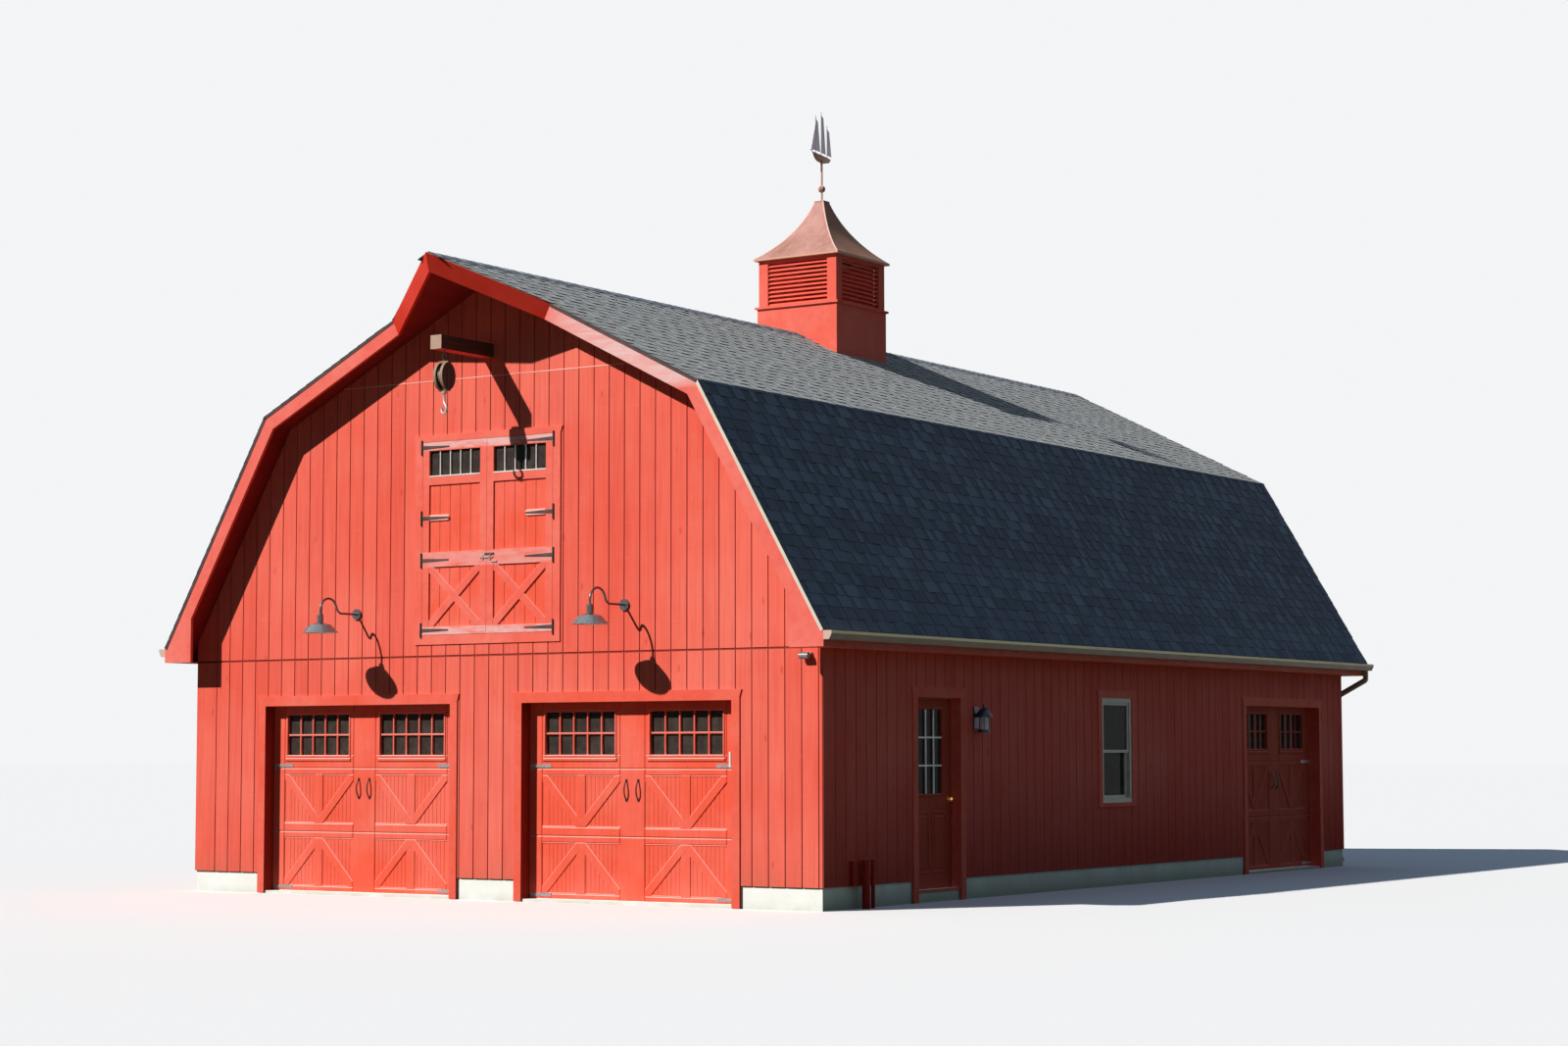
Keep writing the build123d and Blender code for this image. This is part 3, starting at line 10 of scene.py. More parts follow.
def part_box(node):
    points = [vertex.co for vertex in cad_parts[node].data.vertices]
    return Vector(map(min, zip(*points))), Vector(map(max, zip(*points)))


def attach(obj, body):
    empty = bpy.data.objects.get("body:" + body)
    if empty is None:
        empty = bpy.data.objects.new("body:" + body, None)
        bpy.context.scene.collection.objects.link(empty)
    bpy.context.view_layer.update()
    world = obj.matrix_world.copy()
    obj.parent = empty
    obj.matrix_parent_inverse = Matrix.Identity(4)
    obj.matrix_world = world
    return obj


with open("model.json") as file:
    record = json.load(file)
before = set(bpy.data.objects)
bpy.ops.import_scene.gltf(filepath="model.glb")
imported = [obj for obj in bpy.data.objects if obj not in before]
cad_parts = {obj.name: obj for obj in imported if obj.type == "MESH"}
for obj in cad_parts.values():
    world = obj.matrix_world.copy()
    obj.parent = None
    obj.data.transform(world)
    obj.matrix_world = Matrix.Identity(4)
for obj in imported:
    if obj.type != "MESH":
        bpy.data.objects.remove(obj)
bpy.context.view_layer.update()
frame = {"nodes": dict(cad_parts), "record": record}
nodes = frame["nodes"]
dice = random.Random(11)
print("frame loaded:", len(nodes), "nodes")


# Materials: a wired value, and a material that wires them
class Wire:
    def __init__(self, paint, socket):
        self.paint, self.socket = paint, socket

    def maths(self, operation, first, second=0.0, clamp=False):
        return self.paint.node("ShaderNodeMath", {"operation": operation, "use_clamp": clamp},
                               {0: first, 1: second})

    def __add__(self, other):
        return self.maths("ADD", self, other)

    def __radd__(self, other):
        return self.maths("ADD", other, self)

    def __sub__(self, other):
        return self.maths("SUBTRACT", self, other)

    def __rsub__(self, other):
        return self.maths("SUBTRACT", other, self)

    def __mul__(self, other):
        return self.maths("MULTIPLY", self, other)

    def __rmul__(self, other):
        return self.maths("MULTIPLY", other, self)

    def __gt__(self, other):
        return self.maths("GREATER_THAN", self, other)

    def __lt__(self, other):
        return self.maths("LESS_THAN", self, other)

    def __abs__(self):
        return self.maths("ABSOLUTE", self)

    def ramp(self, low, high):  # 0 below low, 1 above high
        return self.maths("MULTIPLY", self - low, 1 / (high - low), clamp=True)


class Paint:
    def __init__(self, name, world=None):  # the world is wired in the same way as a material
        self.material = world or bpy.data.materials.new(name)
        self.material.use_nodes = True
        self.tree = self.material.node_tree
        self.tree.nodes.clear()
        self.place = self.node("ShaderNodeTexCoord", out="Generated" if world else "Object")

    def node(self, kind, settings=None, values=None, out=0):
        made = self.tree.nodes.new(kind)
        for name, value in (settings or {}).items():
            setattr(made, name, value)
        for name, value in (values or {}).items():
            if isinstance(value, Wire):
                self.tree.links.new(value.socket, made.inputs[name])
            else:
                made.inputs[name].default_value = value
        return Wire(self, made.outputs[out] if made.outputs else None)

    def stretched(self, scale, shift=(0, 0, 0)):
        return self.node("ShaderNodeMapping", values={
            "Vector": self.place, "Location": shift, "Scale": scale})

    def noise(self, scale, detail=3.0, rough=0.5, stretch=(1, 1, 1)):
        return self.node("ShaderNodeTexNoise", values={
            "Vector": self.stretched(stretch), "Scale": scale, "Detail": detail,
            "Roughness": rough})

    def axis(self, name):  # one coordinate of the place
        return self.node("ShaderNodeSeparateXYZ", values={"Vector": self.place}, out=name)

    def mix(self, share, first, second):  # inputs 6 and 7 and output 2 are the colours
        ends = {key: value if isinstance(value, Wire) else (*value, 1.0)
                for key, value in {6: first, 7: second}.items()}
        return self.node("ShaderNodeMix", {"data_type": "RGBA"}, {0: share, **ends}, out=2)

    def facing(self, name):  # one coordinate of the surface direction
        direction = self.node("ShaderNodeNewGeometry", out="Normal")
        return self.node("ShaderNodeSeparateXYZ", values={"Vector": direction}, out=name)

    def sideways(self):  # 1 on faces that look along X
        return abs(self.facing("X")).ramp(0.6, 0.9)

    def seenBy(self, *rays):  # 1 for these kinds of ray
        path = self.node("ShaderNodeLightPath").socket.node
        seen = Wire(self, path.outputs[rays[0]])
        for ray in rays[1:]:
            seen = seen.maths("MAXIMUM", seen, Wire(self, path.outputs[ray]))
        return seen

    def shade(self):  # the tone given to each board or tab, from -1 to 1
        return self.node("ShaderNodeAttribute", {"attribute_name": "tone"}, out="Fac")

    def surface(self, colour, rough, bump=None, depth=0.002, strength=0.6, **fixed):
        values = {"Base Color": colour, "Roughness": rough}
        if bump is not None:
            values["Normal"] = self.node("ShaderNodeBump", values={
                "Strength": strength, "Distance": depth, "Height": bump})
        values.update({name.replace("_", " "): value for name, value in fixed.items()})
        body = self.node("ShaderNodeBsdfPrincipled", values=values)
        self.node("ShaderNodeOutputMaterial", values={"Surface": body})
        return self.material


sawnSiding = {
    "paint": (0.85, 0.124, 0.080),
    "faded": (0.91, 0.205, 0.148),
    "deep": (0.62, 0.055, 0.038),
    "knot": (0.50, 0.05, 0.035),
    "dirt": (0.42, 0.16, 0.10),
    # painted shade for the foot of the long walls
    "lowDark": (0.30, 0.024, 0.016),
    "groove": (0.05, 0.003, 0.002),
    "grain": (26, 26, 1.1),  # streaks run up the boards
    "sawMarks": (3, 3, 170),
    "knotSpread": (4.2, 4.2, 1.7),
    "splashTop": 0.62,
    "lowDarkTop": 1.5,
    "shine": 0.05,
}


def sawnBoards(name, look, shadow=0.0):
    s = Paint(name)
    patch = s.noise(0.55, 4, 0.6)
    streak = s.noise(1.0, 5, 0.62, look["grain"])
    saw = s.noise(1.0, 2, 0.6, look["sawMarks"])
    worn = s.noise(5.0, 3, 0.7).ramp(0.56, 0.70) * saw.ramp(0.50, 0.66)
    knots = s.node("ShaderNodeTexVoronoi", {"feature": "F1"},
                   {"Vector": s.stretched(look["knotSpread"]), "Scale": 1.0}, out="Distance")
    knot = 1 - knots.ramp(0.045, 0.10)
    tone = s.shade()
    colour = s.mix(patch.ramp(0.36, 0.66) * 0.75, look["paint"], look["faded"])
    colour = s.mix(streak.ramp(0.44, 0.72) * 0.34, colour, look["deep"])
    colour = s.mix(worn * 0.55, colour, look["faded"])
    colour = s.mix(knot * 0.45, colour, look["knot"])
    colour = s.mix((tone * -1).ramp(0.0, 1.0) * 0.16, colour, look["deep"])
    colour = s.mix(tone.ramp(0.0, 1.0) * 0.22, colour, look["faded"])
    height = s.axis("Z")
    splash = (look["splashTop"] - height).ramp(0.0, 0.42)
    splash = splash * s.noise(2.4, 4, 0.7).ramp(0.42, 0.62)
    colour = s.mix(splash * 0.30, colour, look["dirt"])
    lowDark = s.sideways() * (look["lowDarkTop"] - height).ramp(0.0, 1.2)
    colour = s.mix(lowDark * 0.6, colour, look["lowDark"])  # painted shade: the long walls are darkened towards the bottom
    if shadow:
        colour = s.mix(shadow, colour, look["groove"])
    relief = streak * 0.55 + saw * 0.45 - knot * 0.4
    return s.surface(colour, 0.72 + streak * 0.15, relief, 0.0035, 0.55,
                     Specular_IOR_Level=look["shine"])


smoothTrim = {
    "paint": (0.86, 0.136, 0.090),
    "faded": (0.90, 0.225, 0.172),
    "deep": (0.60, 0.050, 0.036),
    "sideShade": (0.44, 0.060, 0.022),  # painted shade on faces that look along X
    "topHighlight": (0.97, 0.60, 0.52),  # painted highlight on faces that look up
    # colour of the painted reflection on the upper right rake and of the paler loft rails
    "pale": (0.80, 0.52, 0.50),
    "shaded": (0.16, 0.010, 0.006),
    "shine": 0.08,
}
# places of the painted reflection on the rake, the paler loft rails and the painted shade in the
# doorways
trimMarks = {
    "rakeAcross": (0.9, 1.5),
    "rakeHeight": (5.36, 5.44),
    "bottomRailTo": 2.985,
    "middleRail": (3.650, 3.815),
    "topRailFrom": 4.957,
    "jambsBefore": -6.5,
}


def rakeReflection(s):  # painted reflection: the upper right rake is made nearly white, in long streaks
    streak = s.noise(1.0, 5, 0.7, (2.2, 14, 14)).ramp(0.40, 0.62)
    upper = s.axis("Z").ramp(*trimMarks["rakeHeight"])
    return s.axis("X").ramp(*trimMarks["rakeAcross"]) * upper * (0.55 + streak * 0.45)


def paleRails(s):  # the rails of the loft doors are made paler in streaks, the middle one half as much
    height = s.axis("Z")
    low, high = trimMarks["middleRail"]
    rails = (height > trimMarks["topRailFrom"]) + (height < trimMarks["bottomRailTo"])
    rails = rails + (height > low) * (height < high) * 0.5
    return rails * s.noise(1.0, 4, 0.7, (3, 14, 14)).ramp(0.30, 0.55) * 0.8


def shadedJambs(s):  # painted shade on the reveals of the front doorways
    return s.sideways() * (s.axis("Y") < trimMarks["jambsBefore"]) * 0.85


def paintedTrim(name, look, rough=0.5, grain=(9, 9, 9), pale=None, shaded=None):
    s = Paint(name)
    patch = s.noise(1.3, 4, 0.6)
    fine = s.noise(1.0, 4, 0.6, grain)
    scuff = s.noise(22.0, 3, 0.75).ramp(0.60, 0.74)
    tone = s.shade()
    colour = s.mix(patch.ramp(0.40, 0.66) * 0.7, look["paint"], look["faded"])
    colour = s.mix(fine.ramp(0.45, 0.75) * 0.25, colour, look["deep"])
    colour = s.mix(scuff * 0.30, colour, look["faded"])
    colour = s.mix((tone * -1).ramp(0.0, 1.0) * 0.35, colour, look["deep"])
    colour = s.mix(tone.ramp(0.0, 1.0) * 0.35, colour, look["faded"])
    # painted highlight: faces that look up are made paler
    colour = s.mix(s.facing("Z").ramp(0.22, 0.55) * 0.75, colour, look["topHighlight"])
    # painted shade: faces that look along X are darkened
    colour = s.mix(s.sideways() * 0.45, colour, look["sideShade"])
    if pale:
        colour = s.mix(pale(s), colour, look["pale"])
    if shaded:
        colour = s.mix(shaded(s), colour, look["shaded"])
    return s.surface(colour, rough + fine * 0.15, fine, 0.0012, 0.4,
                     Specular_IOR_Level=look["shine"])


# painted shade: a darker, bluer copy of the shingles for the lower slopes and the ridge caps
shadedShingles = {
    "shadow": (0.020, 0.023, 0.030),
    "dark": (0.082, 0.095, 0.118),
    "middle": (0.135, 0.155, 0.195),
    "light": (0.20, 0.225, 0.27),
    "brown": (0.15, 0.145, 0.155),
    "sheen": 0.0,
}
# painted light: a lighter copy of the same shingles for the upper slopes
litShingles = {
    "shadow": (0.030, 0.033, 0.035),
    "dark": (0.12, 0.13, 0.135),
    "middle": (0.21, 0.225, 0.225),
    "light": (0.32, 0.34, 0.33),
    "brown": (0.22, 0.20, 0.18),
    "sheen": 0.40,  # worn granules shine at a low angle
}


def shingleCover(name, look):
    s = Paint(name)
    tone = s.shade()
    granule = s.noise(260.0, 2, 0.8)
    blotch = s.noise(1.1, 4, 0.6)
    fleck = s.noise(34.0, 3, 0.7)
    colour = s.mix((tone * -1).ramp(0.0, 1.0), look["middle"], look["dark"])
    colour = s.mix(tone.ramp(0.15, 1.0) * 0.8, colour, look["light"])
    colour = s.mix(fleck.ramp(0.56, 0.70) * 0.35, colour, look["dark"])
    colour = s.mix(blotch.ramp(0.52, 0.70) * 0.22, colour, look["brown"])
    colour = s.mix(granule.ramp(0.56, 0.70) * 0.45, colour, look["light"])
    colour = s.mix((tone * -1).ramp(1.2, 1.4), colour, look["shadow"])
    return s.surface(colour, 0.92, granule + fleck * 0.5, 0.002, 0.5, Specular_IOR_Level=0.12,
                     Sheen_Weight=look["sheen"], Sheen_Roughness=0.35)


roofDeck = {
    # painted shade: the red boards under the roof are darkened
    "board": (0.26, 0.016, 0.010),
    "boardDark": (0.14, 0.010, 0.007),
    "felt": (0.03, 0.03, 0.035),
    "feltPale": (0.06, 0.06, 0.07),
}


def roofUnderside(name, look):  # dark felt above, red boards below and at the edges, painted dark as shade
    s = Paint(name)
    grain = s.noise(1.0, 4, 0.6, (18, 1.5, 18))
    felt = s.noise(40.0, 3, 0.7)
    boards = s.mix(grain.ramp(0.40, 0.68) * 0.5, look["board"], look["boardDark"])
    above = s.mix(felt, look["felt"], look["feltPale"])
    colour = s.mix(s.facing("Z") > 0.1, boards, above)
    return s.surface(colour, 0.75, grain + felt * 0.3, 0.002, 0.4, Specular_IOR_Level=0.15)


footingLook = {
    "cast": (0.95, 0.95, 0.91),
    "warm": (0.86, 0.85, 0.78),
    "pore": (0.55, 0.53, 0.46),
    "lowDark": (0.60, 0.55, 0.42),
    "stain": (0.95, 0.94, 0.78),  # the long sides carry stains, and painted shade darkens their foot
    "moss": (0.80, 0.78, 0.62),
    "baseShade": (0.44, 0.43, 0.31),
}


def castConcrete(name, look):
    s = Paint(name)
    patch = s.noise(2.2, 5, 0.65)
    pore = s.noise(70.0, 3, 0.7)
    height = s.axis("Z")
    # damp stains at the very foot of the concrete
    lowDark = (0.10 - height).ramp(0.0, 0.10) * s.noise(3.0, 4, 0.6).ramp(0.35, 0.60)
    colour = s.mix(patch.ramp(0.35, 0.68), look["cast"], look["warm"])
    colour = s.mix(pore.ramp(0.62, 0.72) * 0.4, colour, look["pore"])
    colour = s.mix(lowDark * 0.5, colour, look["lowDark"])
    moss = s.noise(1.0, 4, 0.65, (2.6, 2.6, 0.7)).ramp(0.34, 0.62)
    sideStainsAndShade = s.mix(moss, look["stain"], look["moss"])
    # painted shade: the foot of the long sides is darkened
    sideStainsAndShade = s.mix((0.22 - height).ramp(0.0, 0.20), sideStainsAndShade, look["baseShade"])
    colour = s.mix(abs(s.facing("X")).ramp(0.3, 0.6), colour, sideStainsAndShade)
    relief = patch * 0.7 + pore * 0.3
    return s.surface(colour, 0.88, relief, 0.004, 0.5, Specular_IOR_Level=0.2)


loftBoards = {"pale": (0.46, 0.34, 0.22), "dark": (0.27, 0.18, 0.11), "run": (2, 24, 24)}


def plainBoards(name, look):
    s = Paint(name)
    grain = s.noise(1.0, 5, 0.65, look["run"])
    patch = s.noise(1.4, 3, 0.6)
    colour = s.mix(grain.ramp(0.38, 0.68), look["pale"], look["dark"])
    colour = s.mix(patch.ramp(0.50, 0.72) * 0.4, colour, look["dark"])
    return s.surface(colour, 0.7, grain, 0.003, 0.5, Specular_IOR_Level=0.2)


def enamel(name, colour, edge, rough=0.35, metal=0.0, speck=0.4, bumps=0.0006, shine=0.5):
    s = Paint(name)
    cloud = s.noise(6.0, 4, 0.6)
    wear = s.noise(60.0, 3, 0.75)
    shade = s.mix(cloud.ramp(0.38, 0.68), colour, edge)
    shade = s.mix(wear.ramp(0.60, 0.74) * speck, shade, edge)
    return s.surface(shade, rough + wear * 0.16, wear, bumps, 0.4, Metallic=metal,
                     Specular_IOR_Level=shine)


def paneGlass(name, colour, clear, shine, dusty=1.7):
    s = Paint(name)
    ripple = s.noise(3.2, 2, 0.5)
    film = s.noise(9.0, 4, 0.65)
    tint = s.mix(film.ramp(0.42, 0.70), colour, tuple(c * dusty for c in colour))
    return s.surface(tint, 0.03 + film * 0.05, ripple, 0.002, 0.12, Alpha=clear,
                     Specular_IOR_Level=shine, IOR=1.2)


gutterLook = {
    "lipFrom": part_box("gutters_and_downspouts")[1].z - 0.032,
    "lipBlend": 0.004,
    "capHeight": (2.6, 2.7),
    # the lip's colour is a painted highlight, the trough's a painted shade
    "lipHighlight": (0.98, 0.82, 0.42),
    "trough": (0.24, 0.16, 0.09),
    "dirt": (0.16, 0.11, 0.065),
    "cap": (0.62, 0.42, 0.34),
}


def gutterMetal(name, look):  # cream end caps; a painted highlight makes the lip paler and painted shade makes the trough brown
    s = Paint(name)
    cloud = s.noise(3.0, 4, 0.6)
    wear = s.noise(1.0, 3, 0.7, (40, 2, 40))
    height = s.axis("Z")
    lipHighlight = height.ramp(look["lipFrom"], look["lipFrom"] + look["lipBlend"])
    end = (s.facing("Y") * -1).ramp(0.6, 0.9) * height.ramp(*look["capHeight"])
    colour = s.mix(cloud.ramp(0.38, 0.68), look["trough"], look["dirt"])
    colour = s.mix(lipHighlight, colour, look["lipHighlight"])
    colour = s.mix(end, colour, look["cap"])
    colour = s.mix(wear.ramp(0.58, 0.72) * 0.35, colour, look["dirt"])
    return s.surface(colour, 0.40 + wear * 0.2, wear, 0.0008, 0.3, Specular_IOR_Level=0.4)


garageIronLook = {
    "pullFrom": 1.06,
    "pullTo": 1.34,
    "strap": (0.30, 0.26, 0.25),
    "worn": (0.50, 0.40, 0.37),
    "pull": (0.030, 0.022, 0.022),
}


def garageIron(name, look):  # grey straps, black pulls
    s = Paint(name)
    wear = s.noise(45.0, 3, 0.75)
    height = s.axis("Z")
    pull = (height > look["pullFrom"]) * (height < look["pullTo"])
    colour = s.mix(wear.ramp(0.50, 0.72), look["strap"], look["worn"])
    colour = s.mix(pull, colour, look["pull"])
    return s.surface(colour, 0.34 + wear * 0.2, wear, 0.0008, 0.4, Metallic=0.3)


lampLook = {
    "whiteFrom": 2.90,
    "whiteTo": 3.035,
    "stemFrom": 3.02,
    "enamel": (0.13, 0.17, 0.19),
    "worn": (0.08, 0.10, 0.12),
    "stem": (0.030, 0.024, 0.024),
    "inside": (0.74, 0.74, 0.70),
}


def lampShade(name, look):  # dark enamel outside, white inside the shade
    s = Paint(name)
    wear = s.noise(30.0, 3, 0.7)
    height = s.axis("Z")
    under = (s.facing("Z") < -0.18) * (height > look["whiteFrom"]) * (height < look["whiteTo"])
    colour = s.mix(wear.ramp(0.45, 0.70), look["enamel"], look["worn"])
    colour = s.mix(height > look["stemFrom"], colour, look["stem"])
    colour = s.mix(under, colour, look["inside"])
    return s.surface(colour, 0.24 + wear * 0.10, wear, 0.0008, 0.3, Specular_IOR_Level=0.9,
                     Coat_Weight=0.6)


blockLook = {
    "rim": (0.46, 0.30, 0.18),
    "stripe": (0.07, 0.035, 0.025),
    "rimWorn": (0.20, 0.12, 0.08),
    "cheek": (0.085, 0.040, 0.032),
    "cheekDark": (0.030, 0.014, 0.012),
    "stripes": 17.0,
}


def blockWood(name, look):  # dark cheeks with tan, striped rims
    s = Paint(name)
    grain = s.noise(1.0, 5, 0.65, (30, 30, 3))
    cheek = abs(s.facing("X")).ramp(0.5, 0.7)
    stripe = s.node("ShaderNodeTexWave", {"wave_type": "BANDS", "bands_direction": "X"}, {
        "Vector": s.place, "Scale": look["stripes"], "Distortion": 0.6, "Detail": 2.0}, out="Fac")
    rim = s.mix(stripe.ramp(0.62, 0.76), look["rim"], look["stripe"])
    rim = s.mix(grain.ramp(0.45, 0.70) * 0.45, rim, look["rimWorn"])
    face = s.mix(grain.ramp(0.38, 0.68), look["cheek"], look["cheekDark"])
    return s.surface(s.mix(cheek, rim, face), 0.6, grain, 0.002, 0.5, Specular_IOR_Level=0.3)


beamLow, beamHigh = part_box("hay_beam")
beamLook = {
    "heart": (beamLow + beamHigh) / 2,
    "endFrom": beamLow.y + 0.004,
    "side": (0.085, 0.026, 0.016),
    "sideDark": (0.035, 0.014, 0.010),
    "crack": (0.02, 0.008, 0.006),
    "top": (0.58, 0.40, 0.26),
    "under": (0.70, 0.050, 0.040),  # painted light: red light thrown up from the wall, coloured onto the underside
    "sawn": (0.62, 0.44, 0.33),
    "ring": (0.30, 0.17, 0.11),
    "rings": 26.0,
}


def weatheredBeam(name, look):
    s = Paint(name)
    grain = s.noise(1.0, 5, 0.65, (34, 1.6, 34))
    crack = s.noise(1.0, 3, 0.7, (50, 1.0, 50))
    rings = s.node("ShaderNodeTexWave", {"wave_type": "RINGS", "rings_direction": "Y"}, {
        "Vector": s.stretched((1, 1, 1), tuple(-v for v in look["heart"])),
        "Scale": look["rings"], "Distortion": 1.6, "Detail": 3.0}, out="Fac")
    end = s.axis("Y") < look["endFrom"]
    upwards = s.facing("Z")
    colour = s.mix(grain.ramp(0.36, 0.70), look["side"], look["sideDark"])
    colour = s.mix(crack.ramp(0.60, 0.70) * 0.8, colour, look["crack"])
    colour = s.mix(upwards.ramp(0.5, 0.8), colour, look["top"])
    # painted light: the underside is coloured red
    colour = s.mix((upwards * -1).ramp(0.5, 0.8), colour, look["under"])
    face = s.mix(rings * 0.65, look["sawn"], look["ring"])
    return s.surface(s.mix(end, colour, face), 0.8, grain + rings * end, 0.004, 0.7,
                     Specular_IOR_Level=0.2)


capLow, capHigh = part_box("cupola_roof")
copperLook = {
    "middle": (capLow.y + capHigh.y) / 2,
    "hemTo": capLow.z + 0.024,
    "seam": 0.016,
    "plate": (0.56, 0.285, 0.240),
    "plateDark": (0.36, 0.175, 0.130),
    "streak": (0.62, 0.36, 0.32),
    "bright": (0.88, 0.60, 0.54),
    "shaded": (0.24, 0.105, 0.045),
    "hem": (0.85, 0.46, 0.32),
}


def rustyCopper(name, look):  # bright along the hips and the hem
    s = Paint(name)
    cloud = s.noise(2.0, 4, 0.6)
    streak = s.noise(1.0, 4, 0.6, (14, 14, 1.5))
    colour = s.mix(cloud.ramp(0.35, 0.68), look["plate"], look["plateDark"])
    colour = s.mix(streak.ramp(0.50, 0.74) * 0.5, colour, look["streak"])
    hip = abs(abs(s.axis("X")) - abs(s.axis("Y") - look["middle"])) < look["seam"]
    hem = s.axis("Z") < look["hemTo"]
    colour = s.mix(s.facing("X").ramp(0.15, 0.45) * 0.7, colour, look["shaded"])
    colour = s.mix(hip * 0.75, colour, look["bright"])
    colour = s.mix(hem * 0.7, colour, look["hem"])
    return s.surface(colour, 0.55 + cloud * 0.22, cloud * 0.6 + streak * 0.2, 0.006, 0.3,
                     Specular_IOR_Level=0.12)


vaneLook = {
    "hullTop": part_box("weathervane")[1].z - 0.575,
    "blend": 0.03,
    "hull": (0.16, 0.075, 0.05),
    "hullRust": (0.30, 0.13, 0.08),
    "sail": (0.46, 0.42, 0.48),
    "sailDark": (0.28, 0.22, 0.25),
}


def vaneFinish(name, look):  # weathered sails over a darker hull
    s = Paint(name)
    streak = s.noise(1.0, 4, 0.6, (60, 60, 4))
    high = s.axis("Z").ramp(look["hullTop"], look["hullTop"] + look["blend"])
    hull = s.mix(streak, look["hull"], look["hullRust"])
    sail = s.mix(streak.ramp(0.4, 0.66), look["sail"], look["sailDark"])
    return s.surface(s.mix(high, hull, sail), 0.45 + streak * 0.2, streak, 0.001, 0.4, Metallic=0.4)


alongBoards = (26, 26, 2)
# painted shade: a darker copy of the door paint for the doors on the long side
shadedDoor = {
    "paint": (0.56, 0.075, 0.046),
    "faded": (0.62, 0.13, 0.09),
    "deep": (0.34, 0.035, 0.022),
    "sideShade": (0.26, 0.036, 0.012),
    "topHighlight": (0.66, 0.20, 0.14),
    "shine": 0.06,
}
ledgeTrim = {**smoothTrim, "paint": (0.95, 0.50, 0.43), "deep": (0.85, 0.30, 0.24)}
doorTrim = {**smoothTrim, "paint": (0.88, 0.112, 0.060), "faded": (0.90, 0.19, 0.135)}
frameTrim = {**smoothTrim, "paint": (0.84, 0.112, 0.066), "faded": (0.88, 0.18, 0.13)}
# painted shade: the hood fascia takes a darker copy of the trim paint
hoodShadedTrim = {**smoothTrim, "paint": (0.62, 0.030, 0.014), "faded": (0.74, 0.06, 0.035)}
rakeTrim = {**smoothTrim, "paint": (0.84, 0.150, 0.115)}
cupolaTrim = {**smoothTrim, "topHighlight": smoothTrim["paint"]}
pipeTrim = {**shadedDoor, "paint": (0.36, 0.022, 0.018), "faded": (0.46, 0.045, 0.035)}

sidingPaint = sawnBoards("sawnSidingPaint", sawnSiding)
# painted shade: the walls behind the boards, seen in the grooves, are darkened
groovePaint = sawnBoards("groovePaint", sawnSiding, 0.70)
trimPaint = paintedTrim("trimPaint", smoothTrim)
ledgePaint = paintedTrim("ledgePaint", ledgeTrim)
doorPaint = paintedTrim("doorPaint", doorTrim, 0.42, alongBoards)
pipePaint = paintedTrim("pipePaint", pipeTrim)
sideDoorShadedPaint = paintedTrim("sideDoorShadedPaint", shadedDoor, 0.55, alongBoards)
rakePaint = paintedTrim("rakePaint", rakeTrim, pale=rakeReflection)
loftPaint = paintedTrim("loftPaint", smoothTrim, pale=paleRails)
framePaint = paintedTrim("framePaint", frameTrim, shaded=shadedJambs)
cupolaPaint = paintedTrim("cupolaPaint", cupolaTrim)
hoodShadedPaint = paintedTrim("hoodShadedPaint", hoodShadedTrim)
# painted light: shaded and lit copies of one shingle
shinglePaint = shingleCover("shingleCover", shadedShingles)
litShinglePaint = shingleCover("litShingles", litShingles)
roofPaint = roofUnderside("roofUnderside", roofDeck)
concretePaint = castConcrete("castConcrete", footingLook)
boardPaint = plainBoards("plainBoards", loftBoards)
gutterPaint = gutterMetal("gutterMetal", gutterLook)
almondPaint = enamel("almondVinyl", (0.72, 0.66, 0.54), (0.60, 0.55, 0.45), 0.5, shine=0.3)
glassPaint = paneGlass("paneGlass", (0.044, 0.033, 0.028), 0.93, 0.12)
lampPaint = lampShade("lampEnamel", lampLook)
bulbPaint = enamel("bulbGlass", (0.86, 0.86, 0.80), (0.74, 0.74, 0.68), 0.3)
lanternPaint = enamel("lanternEnamel", (0.012, 0.018, 0.060), (0.030, 0.045, 0.12), 0.25,
                      shine=0.25, bumps=0.0002)
lanternGlassPaint = paneGlass("lanternGlass", (0.86, 0.88, 0.84), 0.75, 0.5)
ironPaint = enamel("blackIron", (0.022, 0.018, 0.018), (0.09, 0.045, 0.035), 0.45, 0.3)
garageIronPaint = garageIron("garageIron", garageIronLook)
beamPaint = weatheredBeam("weatheredBeam", beamLook)
blockPaint = blockWood("blockWood", blockLook)
brassPaint = enamel("brass", (0.80, 0.56, 0.20), (0.62, 0.42, 0.14), 0.25, 1.0, 0.2)
steelPaint = enamel("wornSteel", (0.52, 0.47, 0.44), (0.30, 0.17, 0.12), 0.42, 0.6, 0.8)
copperPaint = rustyCopper("agedCopper", copperLook)
vanePaint = vaneFinish("vaneFinish", vaneLook)
darkEdge = enamel("darkEdge", (0.055, 0.036, 0.036), (0.11, 0.055, 0.05), 0.5, shine=0.2)
paleMetal = enamel("paleMetal", (0.84, 0.82, 0.78), (0.70, 0.67, 0.62), 0.4, 0.1, shine=0.4)

